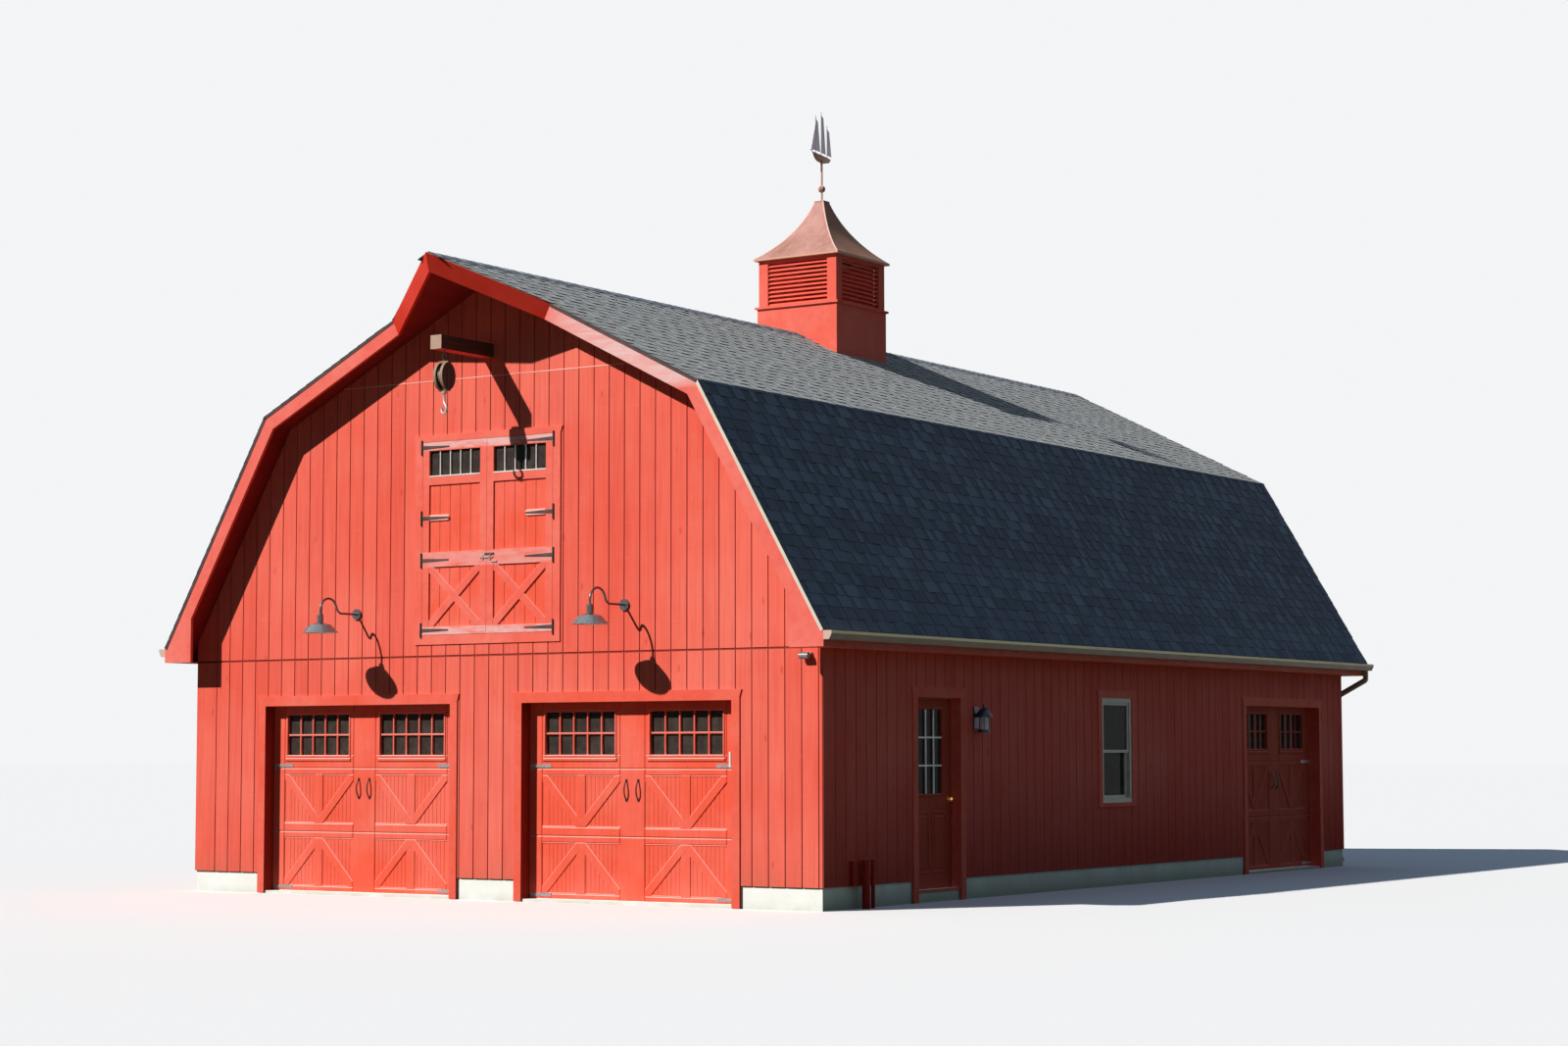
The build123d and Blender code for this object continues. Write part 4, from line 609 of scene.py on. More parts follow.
slotPaint = {
    "siding_red": groovePaint, "trim_red": trimPaint, "door_red": doorPaint,
    "shingles": shinglePaint, "concrete": concretePaint, "boards": boardPaint,
    "gutter_brown": gutterPaint, "window_almond": almondPaint, "clear_glass": glassPaint,
    "lamp_black": lampPaint, "bulb_white": bulbPaint, "lantern_blue": lanternPaint,
    "iron_black": ironPaint, "beam_wood": beamPaint, "block_wood": blockPaint,
    "brass": brassPaint, "copper": copperPaint, "vane_metal": vanePaint,
}
ownPaint = {
    "lantern_glass": lanternGlassPaint, "hoist_hook": steelPaint, "pulley_sheave": steelPaint,
    "garage_door_hardware": garageIronPaint, "garage_door_frames": framePaint,
    "rake_boards": rakePaint, "hood_fascia_boards": hoodShadedPaint, "loft_doors": loftPaint,
    "man_door": sideDoorShadedPaint, "side_garage_door": sideDoorShadedPaint, "standpipes": pipePaint,
    "cupola_base": cupolaPaint, "cupola_ledge": cupolaPaint, "cupola_louvre_frame": cupolaPaint,
    "cupola_louvres": cupolaPaint, "hay_hood": roofPaint, "roof_lower_slopes": roofPaint,
    "roof_upper_left": roofPaint, "roof_upper_right": roofPaint,
}
for part in frame["record"]["subparts"]:
    finish = ownPaint.get(part["node"], slotPaint[part["material_slot"]])
    for place in nodes[part["node"]].material_slots:
        place.material = finish
print("materials given to the frame")


# Mesh helpers: flat shapes are drawn, then raised to boards
def raised(bm, faces, height):
    grown = bmesh.ops.extrude_face_region(bm, geom=faces, use_keep_orig=True)["geom"]
    tops = [g for g in grown if isinstance(g, bmesh.types.BMVert)]
    bmesh.ops.translate(bm, vec=(0, 0, height), verts=tops)
    return [g for g in grown if isinstance(g, bmesh.types.BMFace)]


def flat(bm, points, level=0.0):
    return bm.faces.new([bm.verts.new((x, y, level)) for x, y in points])


def oblong(bm, x, y, level=0.0):
    return flat(bm, [(x[0], y[0]), (x[1], y[0]), (x[1], y[1]), (x[0], y[1])], level)


def softened(bm, faces, edge):  # a small bevel round the front of raised boards
    rims = list(dict.fromkeys(e for f in faces for e in f.edges))
    bmesh.ops.bevel(bm, geom=rims, offset=edge, offset_type="OFFSET", affect="EDGES", segments=1,
                    profile=0.5, material=-1, clamp_overlap=True)


def planks(bm, rows, low, high, edge):  # rows of ((x0, x1), (y0, y1))
    bases = [oblong(bm, x, y, low) for x, y in rows]
    softened(bm, [raised(bm, [base], high - low)[0] for base in bases], edge)


def border(x, y, wide):  # rows of the four boards round an oblong
    over = (x[0] - wide, x[1] + wide)
    return [(over, (y[0] - wide, y[0])), (over, (y[1], y[1] + wide)),
            ((x[0] - wide, x[0]), y), ((x[1], x[1] + wide), y)]


def brace(bm, start, end, width, x, y, low, high, edge):  # a slanted board, cut to its panel
    run = (Vector(end) - Vector(start)).normalized()
    side = Vector((-run.y, run.x)) * width / 2
    far = run * width
    points = [Vector(start) - far - side, Vector(end) + far - side,
              Vector(end) + far + side, Vector(start) - far + side]
    face = flat(bm, [tuple(p) for p in points], low)
    cuts = [((x[0], 0, 0), (-1, 0, 0)), ((x[1], 0, 0), (1, 0, 0)),
            ((0, y[0], 0), (0, -1, 0)), ((0, y[1], 0), (0, 1, 0))]
    whole = [face, *face.edges, *face.verts]
    for place, away in cuts:
        left = bmesh.ops.bisect_plane(bm, geom=whole, plane_co=place, plane_no=away,
                                      clear_outer=True)
        whole = [g for g in dict.fromkeys(left["geom"] + left["geom_cut"]) if g.is_valid]
    kept = [g for g in whole if isinstance(g, bmesh.types.BMFace)]
    softened(bm, raised(bm, kept, high - low)[:1], edge)


def sideMatrix(right, origin):  # x to the right as seen from outside, y up, z outwards
    across, up = Vector(right), Vector((0, 0, 1))
    turned = Matrix((across, up, across.cross(up))).transposed().to_4x4()
    return Matrix.Translation(origin) @ turned


def piece(name, bm, paint, matrix=None, body="barn"):
    if matrix is not None:
        bmesh.ops.transform(bm, matrix=matrix, verts=bm.verts)
    bmesh.ops.recalc_face_normals(bm, faces=bm.faces)
    mesh = bpy.data.meshes.new(name)
    bm.to_mesh(mesh)
    bm.free()
    mesh.materials.append(paint)
    made = bpy.data.objects.new(name, mesh)
    bpy.context.scene.collection.objects.link(made)
    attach(made, body)


# Places read from the frame
pierLow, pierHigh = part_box("front_wall_piers")
wallHalf = pierHigh.x
frontFace = pierLow.y
wallFoot = pierLow.z
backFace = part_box("back_wall")[1].y
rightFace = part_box("right_wall_panels")[1].x
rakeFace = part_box("rake_boards")[0].y
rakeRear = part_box("rake_boards")[1].y
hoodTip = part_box("hay_hood")[0].y
front = sideMatrix((1, 0, 0), (0, frontFace, 0))
back = sideMatrix((-1, 0, 0), (0, backFace, 0))
right = sideMatrix((0, 1, 0), (rightFace, 0, 0))
left = sideMatrix((0, -1, 0), (-rightFace, 0, 0))

# Grooved siding on the four walls
siding = {
    "pitch": 0.2032,
    "groove": 0.0130,
    "thick": 0.008,
    "frontStart": 0.3119,  # from the left corner to the first groove
    "sideStart": 0.2236,
    "joints": ((2.660, 0.022), (5.728, 0.004)),  # height and width of the two level joints
    "flashing": 0.011,  # pale strip over the upper joint
    "flashingDepth": (-0.002, 0.003),  # from the face of the boards
    "soffit": 2.655,
    "margin": 0.03,  # the boards stop this far from an opening, behind its casing
    "roofInset": 0.10,
    "kneeInset": 0.02,
}
roofSection = {
    "knee": (3.030, 5.440),
    "ridge": 6.955,
    "eave": 4.562,
    "lowerAngle": math.radians(59.7),
    "upperRise": 0.5,
    "hoodHalf": 1.110,
}
garageLook = {"x": 1.872, "half": 1.372, "head": 2.134}
sideGarageLook = {"y": 4.720, "half": 1.200, "head": 2.190, "face": 4.192}
loftLook = {"half": 0.915, "sill": 2.895, "head": 5.045}
manDoorLook = {"y": -4.453, "half": 0.457, "head": 2.180, "face": 4.237}
windowLook = {
    "half": 0.395,
    "tall": 1.245,
    "sill": 0.990,
    "backSill": 3.650,
    "right": -0.220,  # from the middle of the wall, rightwards as seen from outside
    "left": (0.220, -4.720),
}
belowWall = -1.0


def roofHeight(x):
    kneeX, kneeZ = roofSection["knee"]
    if abs(x) <= kneeX:
        return roofSection["ridge"] - roofSection["upperRise"] * abs(x)
    return kneeZ - math.tan(roofSection["lowerAngle"]) * (abs(x) - kneeX)


def gableOutline():
    kneeX, kneeZ = roofSection["knee"]
    inset = siding["roofInset"]
    half = [(wallHalf, wallFoot), (wallHalf, roofHeight(wallHalf) - inset),
            (kneeX - siding["kneeInset"], kneeZ - inset), (0.0, roofSection["ridge"] - inset)]
    return half + [(-x, z) for x, z in reversed(half[:-1])]


def grooved(name, outline, start, joints, holes, matrix):
    bm = bmesh.new()
    flat(bm, outline)
    low = min(x for x, _ in outline)
    high = max(x for x, _ in outline)
    count = int((high - low - start) / siding["pitch"]) + 1
    grooves = [low + start + siding["pitch"] * k for k in range(count)]
    half = siding["groove"] / 2
    strips = [(g - half, g + half) for g in grooves]
    rows = [(z - gap / 2, z + gap / 2) for z, gap in joints]
    upright = [x for s in strips for x in s] + [x for h in holes for x in h[0]]
    level = [z for s in rows for z in s] + [z for h in holes for z in h[1]]
    for places, away in ((upright, (1, 0, 0)), (level, (0, 1, 0))):
        for place in places:
            bmesh.ops.bisect_plane(bm, geom=[*bm.verts, *bm.edges, *bm.faces],
                                   plane_co=Vector(away) * place, plane_no=away)
    gone = []
    for face in bm.faces:
        at = face.calc_center_median()
        inStrip = any(a < at.x < b for a, b in strips) or any(a < at.y < b for a, b in rows)
        inHole = any(x[0] < at.x < x[1] and z[0] < at.y < z[1] for x, z in holes)
        if inStrip or inHole:
            gone.append(face)
    bmesh.ops.delete(bm, geom=gone, context="FACES")
    raised(bm, list(bm.faces), siding["thick"])
    tone = bm.faces.layers.float.new("tone")
    tones = [dice.uniform(-1, 1) for _ in range(3 * (count + 2))]  # three rows of boards
    for face in bm.faces:
        at = face.calc_center_median()
        row = sum(at.y > z for z, _ in joints)
        face[tone] = tones[3 * (int((at.x - low - start) / siding["pitch"] + 1)) + row]
    piece(name, bm, sidingPaint, matrix)


def hole(x, half, low, high):
    m = siding["margin"]
    return ((x - half - m, x + half + m), (low - m, high + m))


def doorHole(look, x):
    return hole(x, look["half"], belowWall, look["head"])


def windowHole(x, sill=windowLook["sill"]):
    return hole(x, windowLook["half"], sill, sill + windowLook["tall"])


garageHoles = [doorHole(garageLook, side * garageLook["x"]) for side in (-1, 1)]
loftHole = hole(0.0, loftLook["half"], loftLook["sill"], loftLook["head"])
sideHoles = [doorHole(manDoorLook, manDoorLook["y"]), windowHole(windowLook["right"]),
             doorHole(sideGarageLook, sideGarageLook["y"])]
sideOutline = [(frontFace, wallFoot), (backFace, wallFoot), (backFace, siding["soffit"]),
               (frontFace, siding["soffit"])]
mirrorOutline = [(-x, z) for x, z in reversed(sideOutline)]
grooved("siding_front", gableOutline(), siding["frontStart"], siding["joints"],
        [*garageHoles, loftHole], front)
grooved("siding_back", gableOutline(), siding["pitch"], siding["joints"],
        [windowHole(0.0, windowLook["backSill"])], back)
grooved("siding_right", sideOutline, siding["sideStart"], (), sideHoles, right)
for word, place in (("front", front), ("back", back)):
    level, tall = siding["joints"][1][0], siding["flashing"] / 2
    reach = (roofSection["ridge"] - siding["roofInset"] - level) / roofSection["upperRise"]
    sunk, proud = siding["flashingDepth"]
    bm = bmesh.new()
    planks(bm, [((-reach, reach), (level - tall, level + tall))],
           siding["thick"] + sunk, siding["thick"] + proud, 0.001)
    piece("gable_flashing_" + word, bm, ledgePaint, place)
grooved("siding_left", mirrorOutline, siding["pitch"], (),
        [windowHole(x) for x in windowLook["left"]], left)
print("siding laid")

# Laminated shingles, course by course: a strip with thicker tabs on it
shingles = {
    "exposure": 0.143,
    "overlap": 0.018,
    "strip": 0.007,
    "firstTab": 0.15,
    "tabWide": (0.09, 0.26),
    "gapWide": (0.05, 0.19),
    "tabLevel": 0.6,  # parts of the strip's thickness, as are the next two
    "tabFrom": 1.2,
    "tuck": 0.75,
    "tuckFrom": 0.8,  # part of the exposure
    "edge": 0.006,
    "rearEdge": 0.001,
    "shadowTone": -1.6,  # the cut edges of the courses are dark
}
shadedVariety = {"tab": (-0.75, 0.9), "strip": (-0.9, -0.1)}
litVariety = {"tab": (-0.25, 0.5), "strip": (-0.5, 0.0)}


def courses(name, length, starts, rear, slanted, matrix, paint, variety):
    bm = bmesh.new()
    tone = bm.faces.layers.float.new("tone")
    step, thick = shingles["exposure"], shingles["strip"]
    for row in range(math.ceil(length / step)):
        low = row * step
        high = min(low + step + shingles["overlap"], length)
        start = starts(high)
        oblong(bm, (start, rear), (low, high))
        at = start + dice.uniform(0, shingles["firstTab"])
        while at < rear:
            wide = dice.uniform(*shingles["tabWide"])
            oblong(bm, (at, min(at + wide, rear)), (low, high), thick * shingles["tabLevel"])
            at += wide + dice.uniform(*shingles["gapWide"])
    if slanted:
        place, away = slanted
        reach = [f for f in bm.faces if f.calc_center_median().y > place[1] - step]
        cut = dict.fromkeys(g for f in reach for g in (f, *f.edges, *f.verts))
        bmesh.ops.bisect_plane(bm, geom=list(cut), plane_co=place, plane_no=away, clear_outer=True)
    tops = raised(bm, list(bm.faces), thick)
    for face in bm.faces:
        face[tone] = shingles["shadowTone"]
    for face in tops:
        isTab = face.calc_center_median().z > thick * shingles["tabFrom"]
        face[tone] = dice.uniform(*variety["tab" if isTab else "strip"])
        lowEdge = min(v.co.y for v in face.verts)
        for v in face.verts:
            if v.co.y > lowEdge + step * shingles["tuckFrom"]:  # tucked under the next course
                v.co.z -= thick * shingles["tuck"]
    piece(name, bm, paint, matrix)


def slopeMatrix(foot, angle, side):  # x towards the back, y up the slope, z away from the roof
    up = Vector((-math.cos(angle), 0, math.sin(angle)))
    out = Vector((math.sin(angle), 0, math.cos(angle)))
    turned = Matrix((Vector((0, 1, 0)), up, out)).transposed().to_4x4()
    made = Matrix.Translation((foot[0], 0, foot[1])) @ turned
    return Matrix.Diagonal((side, 1, 1, 1)) @ made


upperAngle = math.atan(roofSection["upperRise"])
kneeX, kneeZ = roofSection["knee"]
lowerRun = (roofSection["eave"] - kneeX) / math.cos(roofSection["lowerAngle"])
upperRun = kneeX / math.cos(upperAngle)
hoodStart = (kneeX - roofSection["hoodHalf"]) / math.cos(upperAngle)
courseFront = rakeFace - shingles["edge"]
courseRear = rakeRear - shingles["rearEdge"]


def rakeStart(v):
    return courseFront


def hoodFront(v):
    share = max(0.0, (v - hoodStart) / (upperRun - hoodStart))
    return courseFront + share * (hoodTip - courseFront)


slantAway = Vector((hoodStart - upperRun, hoodTip - courseFront, 0)).normalized()
hoodCut = ((courseFront, hoodStart, 0), tuple(slantAway))
eaveLine = (roofSection["eave"], roofHeight(roofSection["eave"]))
# painted light: the lower slopes take the shaded copy of the shingles, the upper slopes the lit one
for side, word in ((1, "right"), (-1, "left")):
    courses("shingles_lower_" + word, lowerRun, rakeStart, courseRear, None,
            slopeMatrix(eaveLine, roofSection["lowerAngle"], side), shinglePaint, shadedVariety)
    courses("shingles_upper_" + word, upperRun, hoodFront, courseRear, hoodCut,
            slopeMatrix((kneeX, kneeZ), upperAngle, side), litShinglePaint, litVariety)

ridgeCaps = {
    "exposure": 0.143,
    "lap": 0.02,
    "reach": 0.150,
    "thick": 0.008,
    "tilt": 0.006,
    "sink": 0.01,
}


def capRow():
    bm = bmesh.new()
    tone = bm.faces.layers.float.new("tone")
    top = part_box("ridge_cap_right")[1].z - ridgeCaps["sink"]
    rise = roofSection["upperRise"] * ridgeCaps["reach"]
    points = [(-ridgeCaps["reach"], -rise), (0, 0), (ridgeCaps["reach"], -rise)]
    at = hoodTip
    while at < courseRear - ridgeCaps["exposure"] - ridgeCaps["lap"]:
        rear = at + ridgeCaps["exposure"] + ridgeCaps["lap"]
        verts = [bm.verts.new((x, at, top + z + ridgeCaps["tilt"])) for x, z in points]
        verts += [bm.verts.new((x, rear, top + z)) for x, z in reversed(points)]
        pair = [bm.faces.new([verts[0], verts[1], verts[4], verts[5]]),
                bm.faces.new([verts[1], verts[2], verts[3], verts[4]])]
        value = dice.uniform(-1.0, 0.3)
        for face in pair + raised(bm, pair, ridgeCaps["thick"]):
            face[tone] = value
        at += ridgeCaps["exposure"]
    piece("ridge_cap_shingles", bm, shinglePaint)


capRow()
print("shingles laid")

# Drip edges along the rakes: dark, but pale on the lower right
dripEdge = {"deep": 0.036, "thick": 0.004, "ridgeGap": 0.01}


def dripRun(bm, low, high):
    run = (Vector(high) - Vector(low)).normalized()
    inward = Vector((run.y, -run.x)) * dripEdge["deep"]
    if inward.y > 0:
        inward.negate()
    points = [Vector(low), Vector(high), Vector(high) + inward, Vector(low) + inward]
    raised(bm, [flat(bm, [tuple(p) for p in points])], dripEdge["thick"])


for word, place, top in (
        ("front", sideMatrix((1, 0, 0), (0, rakeFace, 0)), roofSection["hoodHalf"]),
        ("rear", sideMatrix((-1, 0, 0), (0, rakeRear - dripEdge["thick"], 0)),
         dripEdge["ridgeGap"])):
    for hand, side, paint, slot in (("left", -1, darkEdge, "iron_black"),
                                    ("right", 1, almondPaint, "window_almond")):
        bm = bmesh.new()
        dripRun(bm, (side * eaveLine[0], eaveLine[1]), (side * kneeX, kneeZ))
        piece("drip_edge_lower_" + word + "_" + hand, bm, paint, place)
    bm = bmesh.new()
    for side in (-1, 1):
        dripRun(bm, (side * kneeX, kneeZ), (side * top, roofHeight(top)))
    piece("drip_edge_upper_" + word, bm, darkEdge, place)
print("drip edges on")

# Garage doors: stiles, rails, braces, beaded panels and window bars
garageDoor = {
    "face": -6.620,
    "rear": -0.001,  # boards start just behind the face they lie on
    "overlay": 0.014,
    "stile": 0.165,
    "frameLap": 0.02,
    "centre": 0.163,
    "foot": 0.038,
    "bottomRail": 0.088,
    "midRail": (0.635, 0.800),
    "topRail": (1.355, 1.573),
    "head": 2.140,
    "joints": (0.705, 1.425),
    "jointGap": 0.004,
    "post": 0.116,
    "postLap": 0.002,
    "postSunk": 0.0022,
    "brace": 0.095,
    "braceSunk": (0.0008, 0.0014),  # the two crossing faces stay apart
    "bead": 0.050,
    "beadGap": 0.006,
    "beadThick": 0.003,
    "beadOver": 0.01,
    "cove": 0.012,
    "coveThick": 0.008,
    "liteHalf": 0.465,
    "liteCentre": 0.697,
    "lite": (1.570, 2.030),
    "columns": 5,
    "bar": 0.021,
    "barDepth": (-0.018, 0.006),
    "levelBarDepth": (-0.017, 0.007),
    "rim": 0.022,
    "rimDepth": (-0.004, 0.010),  # from the face of the overlay
    "sillBoard": (1.500, 1.542),
    "sillReach": 0.03,
    "sillProud": 0.014,
    "sillEdge": 0.009,
    "seal": (0.010, 0.036),
    "sealThick": 0.010,
    "edge": 0.008,
}


def garageOverlay(name, look, half, matrix, paint):
    bm, beads, bars, seal = bmesh.new(), bmesh.new(), bmesh.new(), bmesh.new()
    thick, rear, foot = look["overlay"], look["rear"], look["foot"]
    inner, outer = look["centre"], half - look["stile"]
    gap, post, wide = look["jointGap"] / 2, look["post"] / 2, look["bar"] / 2
    liteLow, liteHigh = look["lite"]
    liteInner, liteOuter = (look["liteCentre"] + side * look["liteHalf"] for side in (-1, 1))
    middle = (inner + outer) / 2
    joints = [foot, *look["joints"], look["head"]]
    sections = [(a + gap * (k > 0), b - gap * (k < 2))
                for k, (a, b) in enumerate(zip(joints, joints[1:]))]
    panels = [(look["bottomRail"], look["midRail"][0], False),
              (look["midRail"][1], look["topRail"][0], True)]
    for side in (-1, 1):
        def across(a, b):
            return tuple(sorted((side * a, side * b)))

        rows = [(across(outer, half + look["frameLap"]), s) for s in sections]
        rows += [((-inner, inner), s) for s in sections if side > 0]
        rows += [(across(inner, outer), (foot, look["bottomRail"]))]
        for low, high in (look["midRail"], look["topRail"]):
            joint = next(j for j in look["joints"] if low < j < high)
            rows += [(across(inner, outer), (low, joint - gap)),
                     (across(inner, outer), (joint + gap, high))]
        rows += [(across(inner, outer), (liteHigh, look["head"])),
                 (across(inner, liteInner), (liteLow, liteHigh)),
                 (across(liteOuter, outer), (liteLow, liteHigh))]
        planks(bm, rows, rear, thick, look["edge"])
        reach = look["sillReach"]
        planks(bm, [(across(liteInner - reach, liteOuter + reach), look["sillBoard"])],
               thick + rear, thick + look["sillProud"], look["sillEdge"])
        for low, high, isVee in panels:
            lap = look["postLap"]
            planks(bm, [(across(middle - post, middle + post), (low - lap, high + lap))],
                   rear, thick - look["postSunk"], 0.003)
            at, corner = (low, high) if isVee else (high, low)
            for end, sunk in zip((inner, outer), look["braceSunk"]):
                brace(bm, (side * end, corner), (side * middle, at), look["brace"],
                      across(inner, outer), (low, high), rear, thick - sunk, 0.006)
            for start, stop in ((inner, middle - post), (middle + post, outer)):
                planks(bm, [(across(start, stop), (low, low + look["cove"])),
                            (across(start, stop), (high - look["cove"], high))],
                       rear, look["coveThick"], 0.004)
            pitch = look["bead"] + look["beadGap"]
            starts = [inner + pitch * k for k in range(int((outer - inner) / pitch) + 1)]
            planks(beads, [(across(x, x + look["bead"]), (low, high)) for x in starts
                           if x + look["bead"] <= outer + look["beadOver"]],
                   rear, look["beadThick"], 0.001)
        x0, x1 = across(liteInner, liteOuter)
        level = (liteLow + liteHigh) / 2
        places = [x0 + (x1 - x0) / look["columns"] * k for k in range(1, look["columns"])]
        uprights = [((x - wide, x + wide), look["lite"]) for x in places]
        planks(bars, uprights, *look["barDepth"], 0.004)
        planks(bars, [((x0, x1), (level - wide, level + wide))], *look["levelBarDepth"], 0.004)
        planks(bars, border((x0, x1), look["lite"], look["rim"]),
               *(thick + depth for depth in look["rimDepth"]), 0.004)
    planks(seal, [((-half, half), look["seal"])], rear, look["sealThick"], 0.003)
    piece(name + "_overlay", bm, paint, matrix)
    piece(name + "_bead_board", beads, paint, matrix)
    barPaint = trimPaint if paint is doorPaint else paint
    piece(name + "_window_bars", bars, barPaint, matrix)
    piece(name + "_bottom_seal", seal, paleMetal, matrix)


sideDoor = {
    **garageDoor,
    "liteHalf": 0.370,
    "liteCentre": 0.590,
    "lite": (1.626, 2.086),
    "columns": 4,
    "midRail": (0.650, 0.820),
    "topRail": (1.400, 1.629),
    "joints": (0.725, 1.460),
    "head": 2.200,
    "sillBoard": (1.560, 1.600),
}
marker = {"x": (1.238, 1.262), "z": (1.440, 1.600), "depth": (0.013, 0.022)}
for word, x in (("left", -garageLook["x"]), ("right", garageLook["x"])):
    garagePlace = sideMatrix((1, 0, 0), (x, garageDoor["face"], 0))
    garageOverlay("garage_" + word, garageDoor, garageLook["half"], garagePlace, doorPaint)
sidePlace = sideMatrix((0, 1, 0), (sideGarageLook["face"], sideGarageLook["y"], 0))
garageOverlay("garage_side", sideDoor, sideGarageLook["half"], sidePlace, sideDoorShadedPaint)
bm = bmesh.new()  # a small plate on the right-hand stile
planks(bm, [(marker["x"], marker["z"])], *marker["depth"], 0.004)
piece("garage_right_marker", bm, paleMetal, garagePlace)
print("garage doors dressed")

# Loft doors: boards, X braces, window bars, strap blocks and the slide latch
loftDoor = {
    "stile": 0.092,
    "gap": 0.004,
    "rear": -0.001,
    "proud": 0.022,
    "boardPitch": 0.150,
    "groove": 0.007,
    "boardThick": 0.005,
    "upper": (3.815, 4.563),
    "lower": (2.990, 3.650),
    "brace": 0.088,
    "braceRear": 0.002,
    "lite": (4.655, 4.945),
    "panes": 5,
    "bar": 0.013,
    "barDepth": (-0.006, 0.010),
    "sill": (-0.002, 0.012),  # below and above the foot of the panes
    "sillProud": 0.003,
    "blockLevel": 4.195,
    "blockTall": 0.068,
    "blockReach": (0.530, 0.815),
    "blockRear": 0.003,
    "blockSides": 7,
    "latch": (((-0.085, 0.095), (3.722, 3.738)), ((-0.055, -0.035), (3.705, 3.755)),
              ((0.045, 0.065), (3.700, 3.760)), ((0.070, 0.150), (3.672, 3.690))),
    "latchThick": 0.012,
}


def loftOverlay(look):
    boards, braces, bars = bmesh.new(), bmesh.new(), bmesh.new()
    inner, outer = look["gap"] / 2 + look["stile"], loftLook["half"] - look["gap"] - look["stile"]
    wide, groove, proud = look["bar"] / 2, look["groove"] / 2, look["proud"]
    count = round((outer - inner) / look["boardPitch"])
    pitch = (outer - inner) / count
    cell = (outer - inner) / look["panes"]
    for side in (-1, 1):
        def across(a, b):
            return tuple(sorted((side * a, side * b)))

        for panel in (look["upper"], look["lower"]):
            planks(boards, [(across(inner + pitch * k + groove * (k > 0),
                                    inner + pitch * (k + 1) - groove * (k < count - 1)), panel)
                            for k in range(count)], look["rear"], look["boardThick"], 0.0015)
        low, high = look["lower"]
        for k, (start, stop) in enumerate(((low, high), (high, low))):
            brace(braces, (side * inner, start), (side * outer, stop), look["brace"],
                  across(inner, outer), (low, high), look["braceRear"],
                  proud - 0.001 * (1 + k), 0.003)
        planks(bars, [(across(inner + cell * k - wide, inner + cell * k + wide), look["lite"])
                      for k in range(1, look["panes"])], *look["barDepth"], 0.003)
        foot = look["lite"][0]
        planks(bars, [(across(inner, outer), tuple(foot + step for step in look["sill"]))],
               look["barDepth"][0], proud + look["sillProud"], 0.003)
    piece("loft_door_boards", boards, doorPaint, front)
    piece("loft_door_braces", braces, trimPaint, front)
    piece("loft_window_bars", bars, paleMetal, front)


def strapBlocks(look):  # short blocks beside the doors, round at their inner ends
    bm = bmesh.new()
    (near, far), tall, level = look["blockReach"], look["blockTall"] / 2, look["blockLevel"]
    turns = [math.pi * k / look["blockSides"] for k in range(look["blockSides"] + 1)]
    for side in (-1, 1):
        outline = [(far, level - tall)]
        outline += [(near + tall - tall * math.sin(t), level - tall * math.cos(t)) for t in turns]
        outline += [(far, level + tall)]
        face = flat(bm, [(side * x, z) for x, z in outline], look["blockRear"])
        softened(bm, raised(bm, [face], look["proud"] - look["blockRear"] - 0.0005), 0.006)
    piece("loft_strap_blocks", bm, ledgePaint, front)


def slideLatch(look):
    bm = bmesh.new()
    planks(bm, look["latch"], look["proud"], look["proud"] + look["latchThick"], 0.003)
    piece("loft_slide_latch", bm, steelPaint, front)


loftOverlay(loftDoor)
strapBlocks(loftDoor)
slideLatch(loftDoor)
print("loft doors dressed")

# Man door: window bars, moulding and panels, which swing with the leaf
manDoor = {
    "rear": -0.001,
    "lite": ((-0.250, 0.250), (1.148, 2.053)),
    "panes": 3,
    "bar": 0.018,
    "barDepth": (-0.012, 0.003),
    "levelBarDepth": (-0.012, 0.004),
    "rim": 0.030,
    "rimThick": 0.010,
    "panels": (((-0.330, -0.030), (0.300, 0.960)), ((0.030, 0.330), (0.300, 0.960))),
    "bead": 0.022,
    "beadThick": 0.007,
    "field": 0.05,
    "fieldThick": 0.006,
    "threshold": {"half": 0.455, "drop": 0.006, "high": 0.026, "depth": (0.010, 0.072)},
}
manPlace = sideMatrix((0, 1, 0), (manDoorLook["face"], manDoorLook["y"], 0))


def inset(x, z, by):
    return (x[0] + by, x[1] - by), (z[0] + by, z[1] - by)


def manDoorOverlay(look):
    bars, trim = bmesh.new(), bmesh.new()
    (x0, x1), (z0, z1) = look["lite"]
    wide, rear = look["bar"] / 2, look["rear"]
    for k in range(1, look["panes"]):
        x = x0 + (x1 - x0) * k / look["panes"]
        z = z0 + (z1 - z0) * k / look["panes"]
        planks(bars, [((x - wide, x + wide), (z0, z1))], *look["barDepth"], 0.003)
        planks(bars, [((x0, x1), (z - wide, z + wide))], *look["levelBarDepth"], 0.003)
    planks(trim, border(*look["lite"], look["rim"]), rear, look["rimThick"], 0.005)
    for panel in look["panels"]:
        bead = border(*inset(*panel, look["bead"]), look["bead"])
        planks(trim, bead, rear, look["beadThick"], 0.004)
        planks(trim, [inset(*panel, look["field"])], rear, look["fieldThick"], 0.005)
    piece("man_door_window_bars", bars, paleMetal, manPlace, "man_door")
    piece("man_door_mouldings", trim, sideDoorShadedPaint, manPlace, "man_door")


def thresholdStrip(look):  # a pale metal strip on the kerb, under the leaf
    bm = bmesh.new()
    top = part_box("man_door")[0].z - look["drop"]
    planks(bm, [((-look["half"], look["half"]), (top - look["high"], top))], *look["depth"], 0.003)
    piece("man_door_threshold", bm, paleMetal, manPlace)


manDoorOverlay(manDoor)
thresholdStrip(manDoor["threshold"])
print("man door dressed")

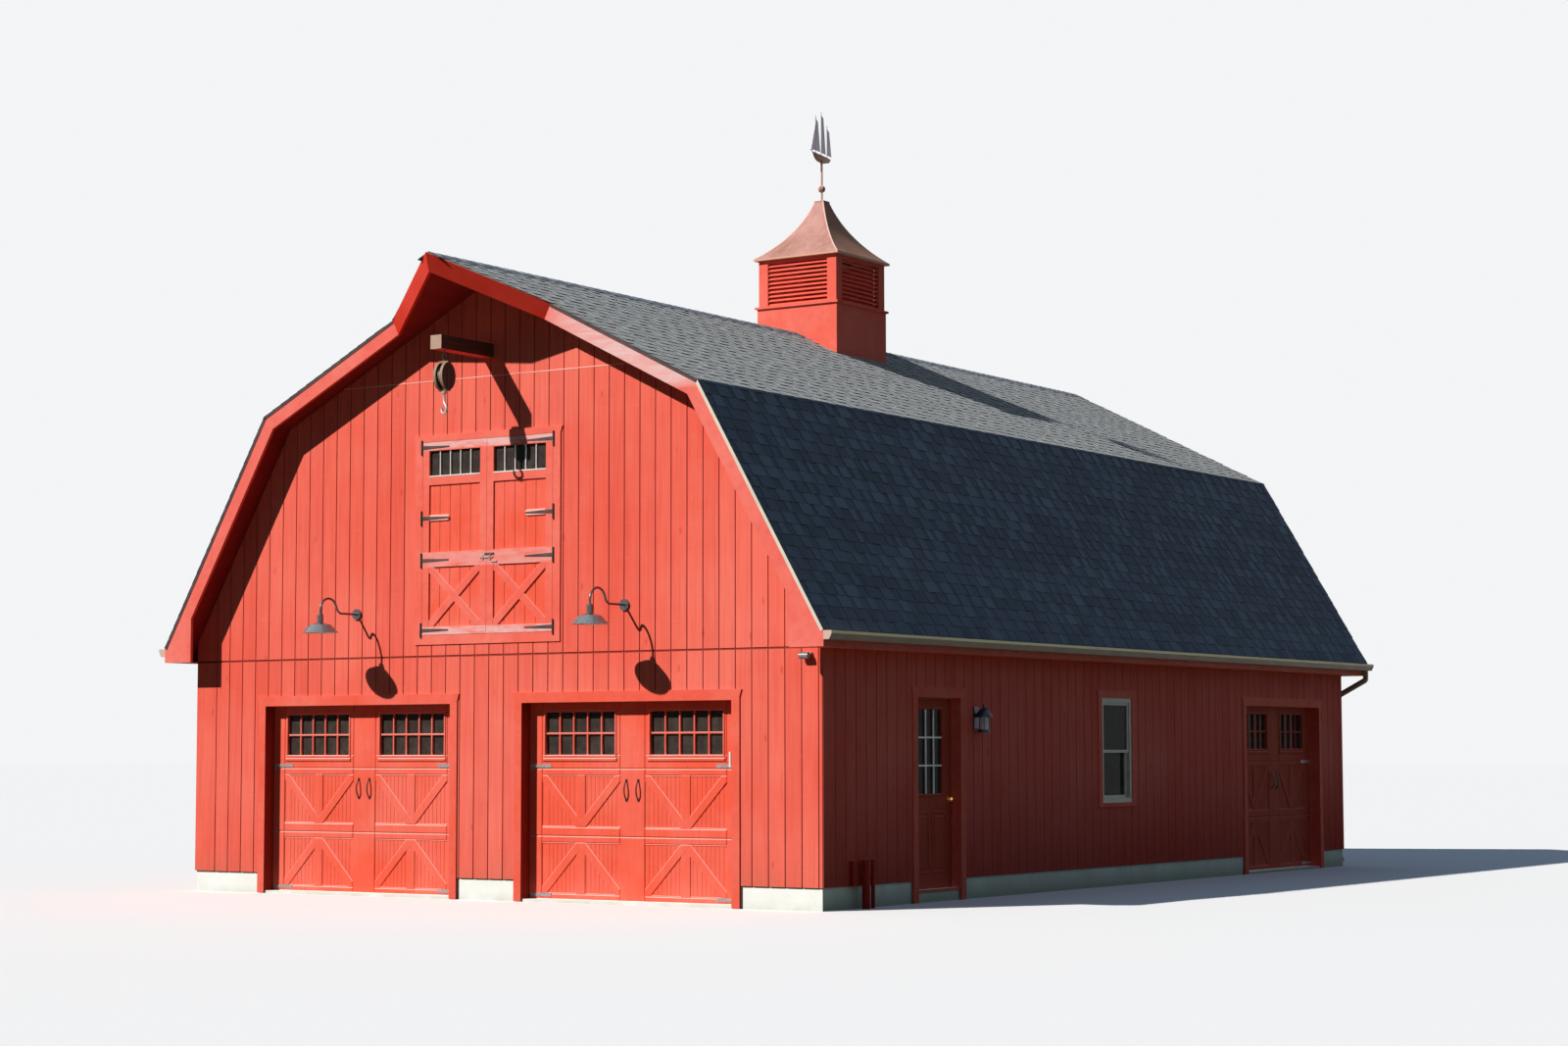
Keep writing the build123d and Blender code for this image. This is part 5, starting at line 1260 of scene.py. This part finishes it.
# Camera, light and floor
view = {
    "place": (20.028, -31.452, 1.602),
    "tilt": (94.52, -0.11, 33.19),
    "lens": 66.4,
    "sensor": 36.0,
    "farthest": 2000.0,
    "sun": (-0.406, -0.675, 0.616),
    "sunPower": 4.65,
    "sunSpread": 0.8,
    "sunColour": (1.0, 0.975, 0.94),
    "sky": (0.62, 0.90, 1.30),
    "skyPower": 0.21,
    "frontFill": 0.35,  # less soft light reaches the front than the long side
    "backdrop": (0.90, 0.91, 0.92),
    "floorSeen": (0.86, 0.85, 0.83),
    "floorBounce": (0.055, 0.070, 0.040),
    "floorHalf": 300.0,
}
camera = bpy.data.cameras.new("camera")
camera.sensor_width = view["sensor"]
camera.lens = view["lens"]
camera.clip_end = view["farthest"]
eye = bpy.data.objects.new("camera", camera)
pitch, roll, turn = (math.radians(a) for a in view["tilt"])
eye.matrix_world = (Matrix.Translation(view["place"]) @ Matrix.Rotation(turn, 4, "Z")
                    @ Matrix.Rotation(pitch, 4, "X") @ Matrix.Rotation(roll, 4, "Z"))
bpy.context.scene.collection.objects.link(eye)
bpy.context.scene.camera = eye

sun = bpy.data.lights.new("sun", "SUN")
sun.energy = view["sunPower"]
sun.angle = math.radians(view["sunSpread"])
sun.color = view["sunColour"]
sunlight = bpy.data.objects.new("sun", sun)
sunlight.matrix_world = Vector(view["sun"]).to_track_quat("Z", "Y").to_matrix().to_4x4()
bpy.context.scene.collection.objects.link(sunlight)

world = bpy.data.worlds.new("studio")
bpy.context.scene.world = world
s = Paint("studio", world)
dimSky = tuple(c * view["frontFill"] for c in view["sky"])
sky = s.mix(s.axis("Y").ramp(-0.9, 0.0), dimSky, view["sky"])
light = s.node("ShaderNodeBackground", values={"Color": sky, "Strength": view["skyPower"]})
pale = s.node("ShaderNodeBackground", values={"Color": (*view["backdrop"], 1)})
blend = s.node("ShaderNodeMixShader", values={
    0: s.seenBy("Is Camera Ray", "Is Glossy Ray", "Is Transmission Ray"), 1: light, 2: pale})
s.node("ShaderNodeOutputWorld", values={"Surface": blend})

s = Paint("studioFloor")
seen = s.seenBy("Is Camera Ray", "Is Glossy Ray")
floorShade = s.mix(seen, view["floorBounce"], view["floorSeen"])
floorPaint = s.surface(floorShade, 0.9, Specular_IOR_Level=0.0)
bm = bmesh.new()
bmesh.ops.create_grid(bm, x_segments=1, y_segments=1, size=view["floorHalf"])
floorMesh = bpy.data.meshes.new("floor")
bm.to_mesh(floorMesh)
bm.free()
floorMesh.materials.append(floorPaint)
floor = bpy.data.objects.new("floor", floorMesh)
bpy.context.scene.collection.objects.link(floor)
bpy.context.scene.view_settings.view_transform = "Standard"
print("stage set")
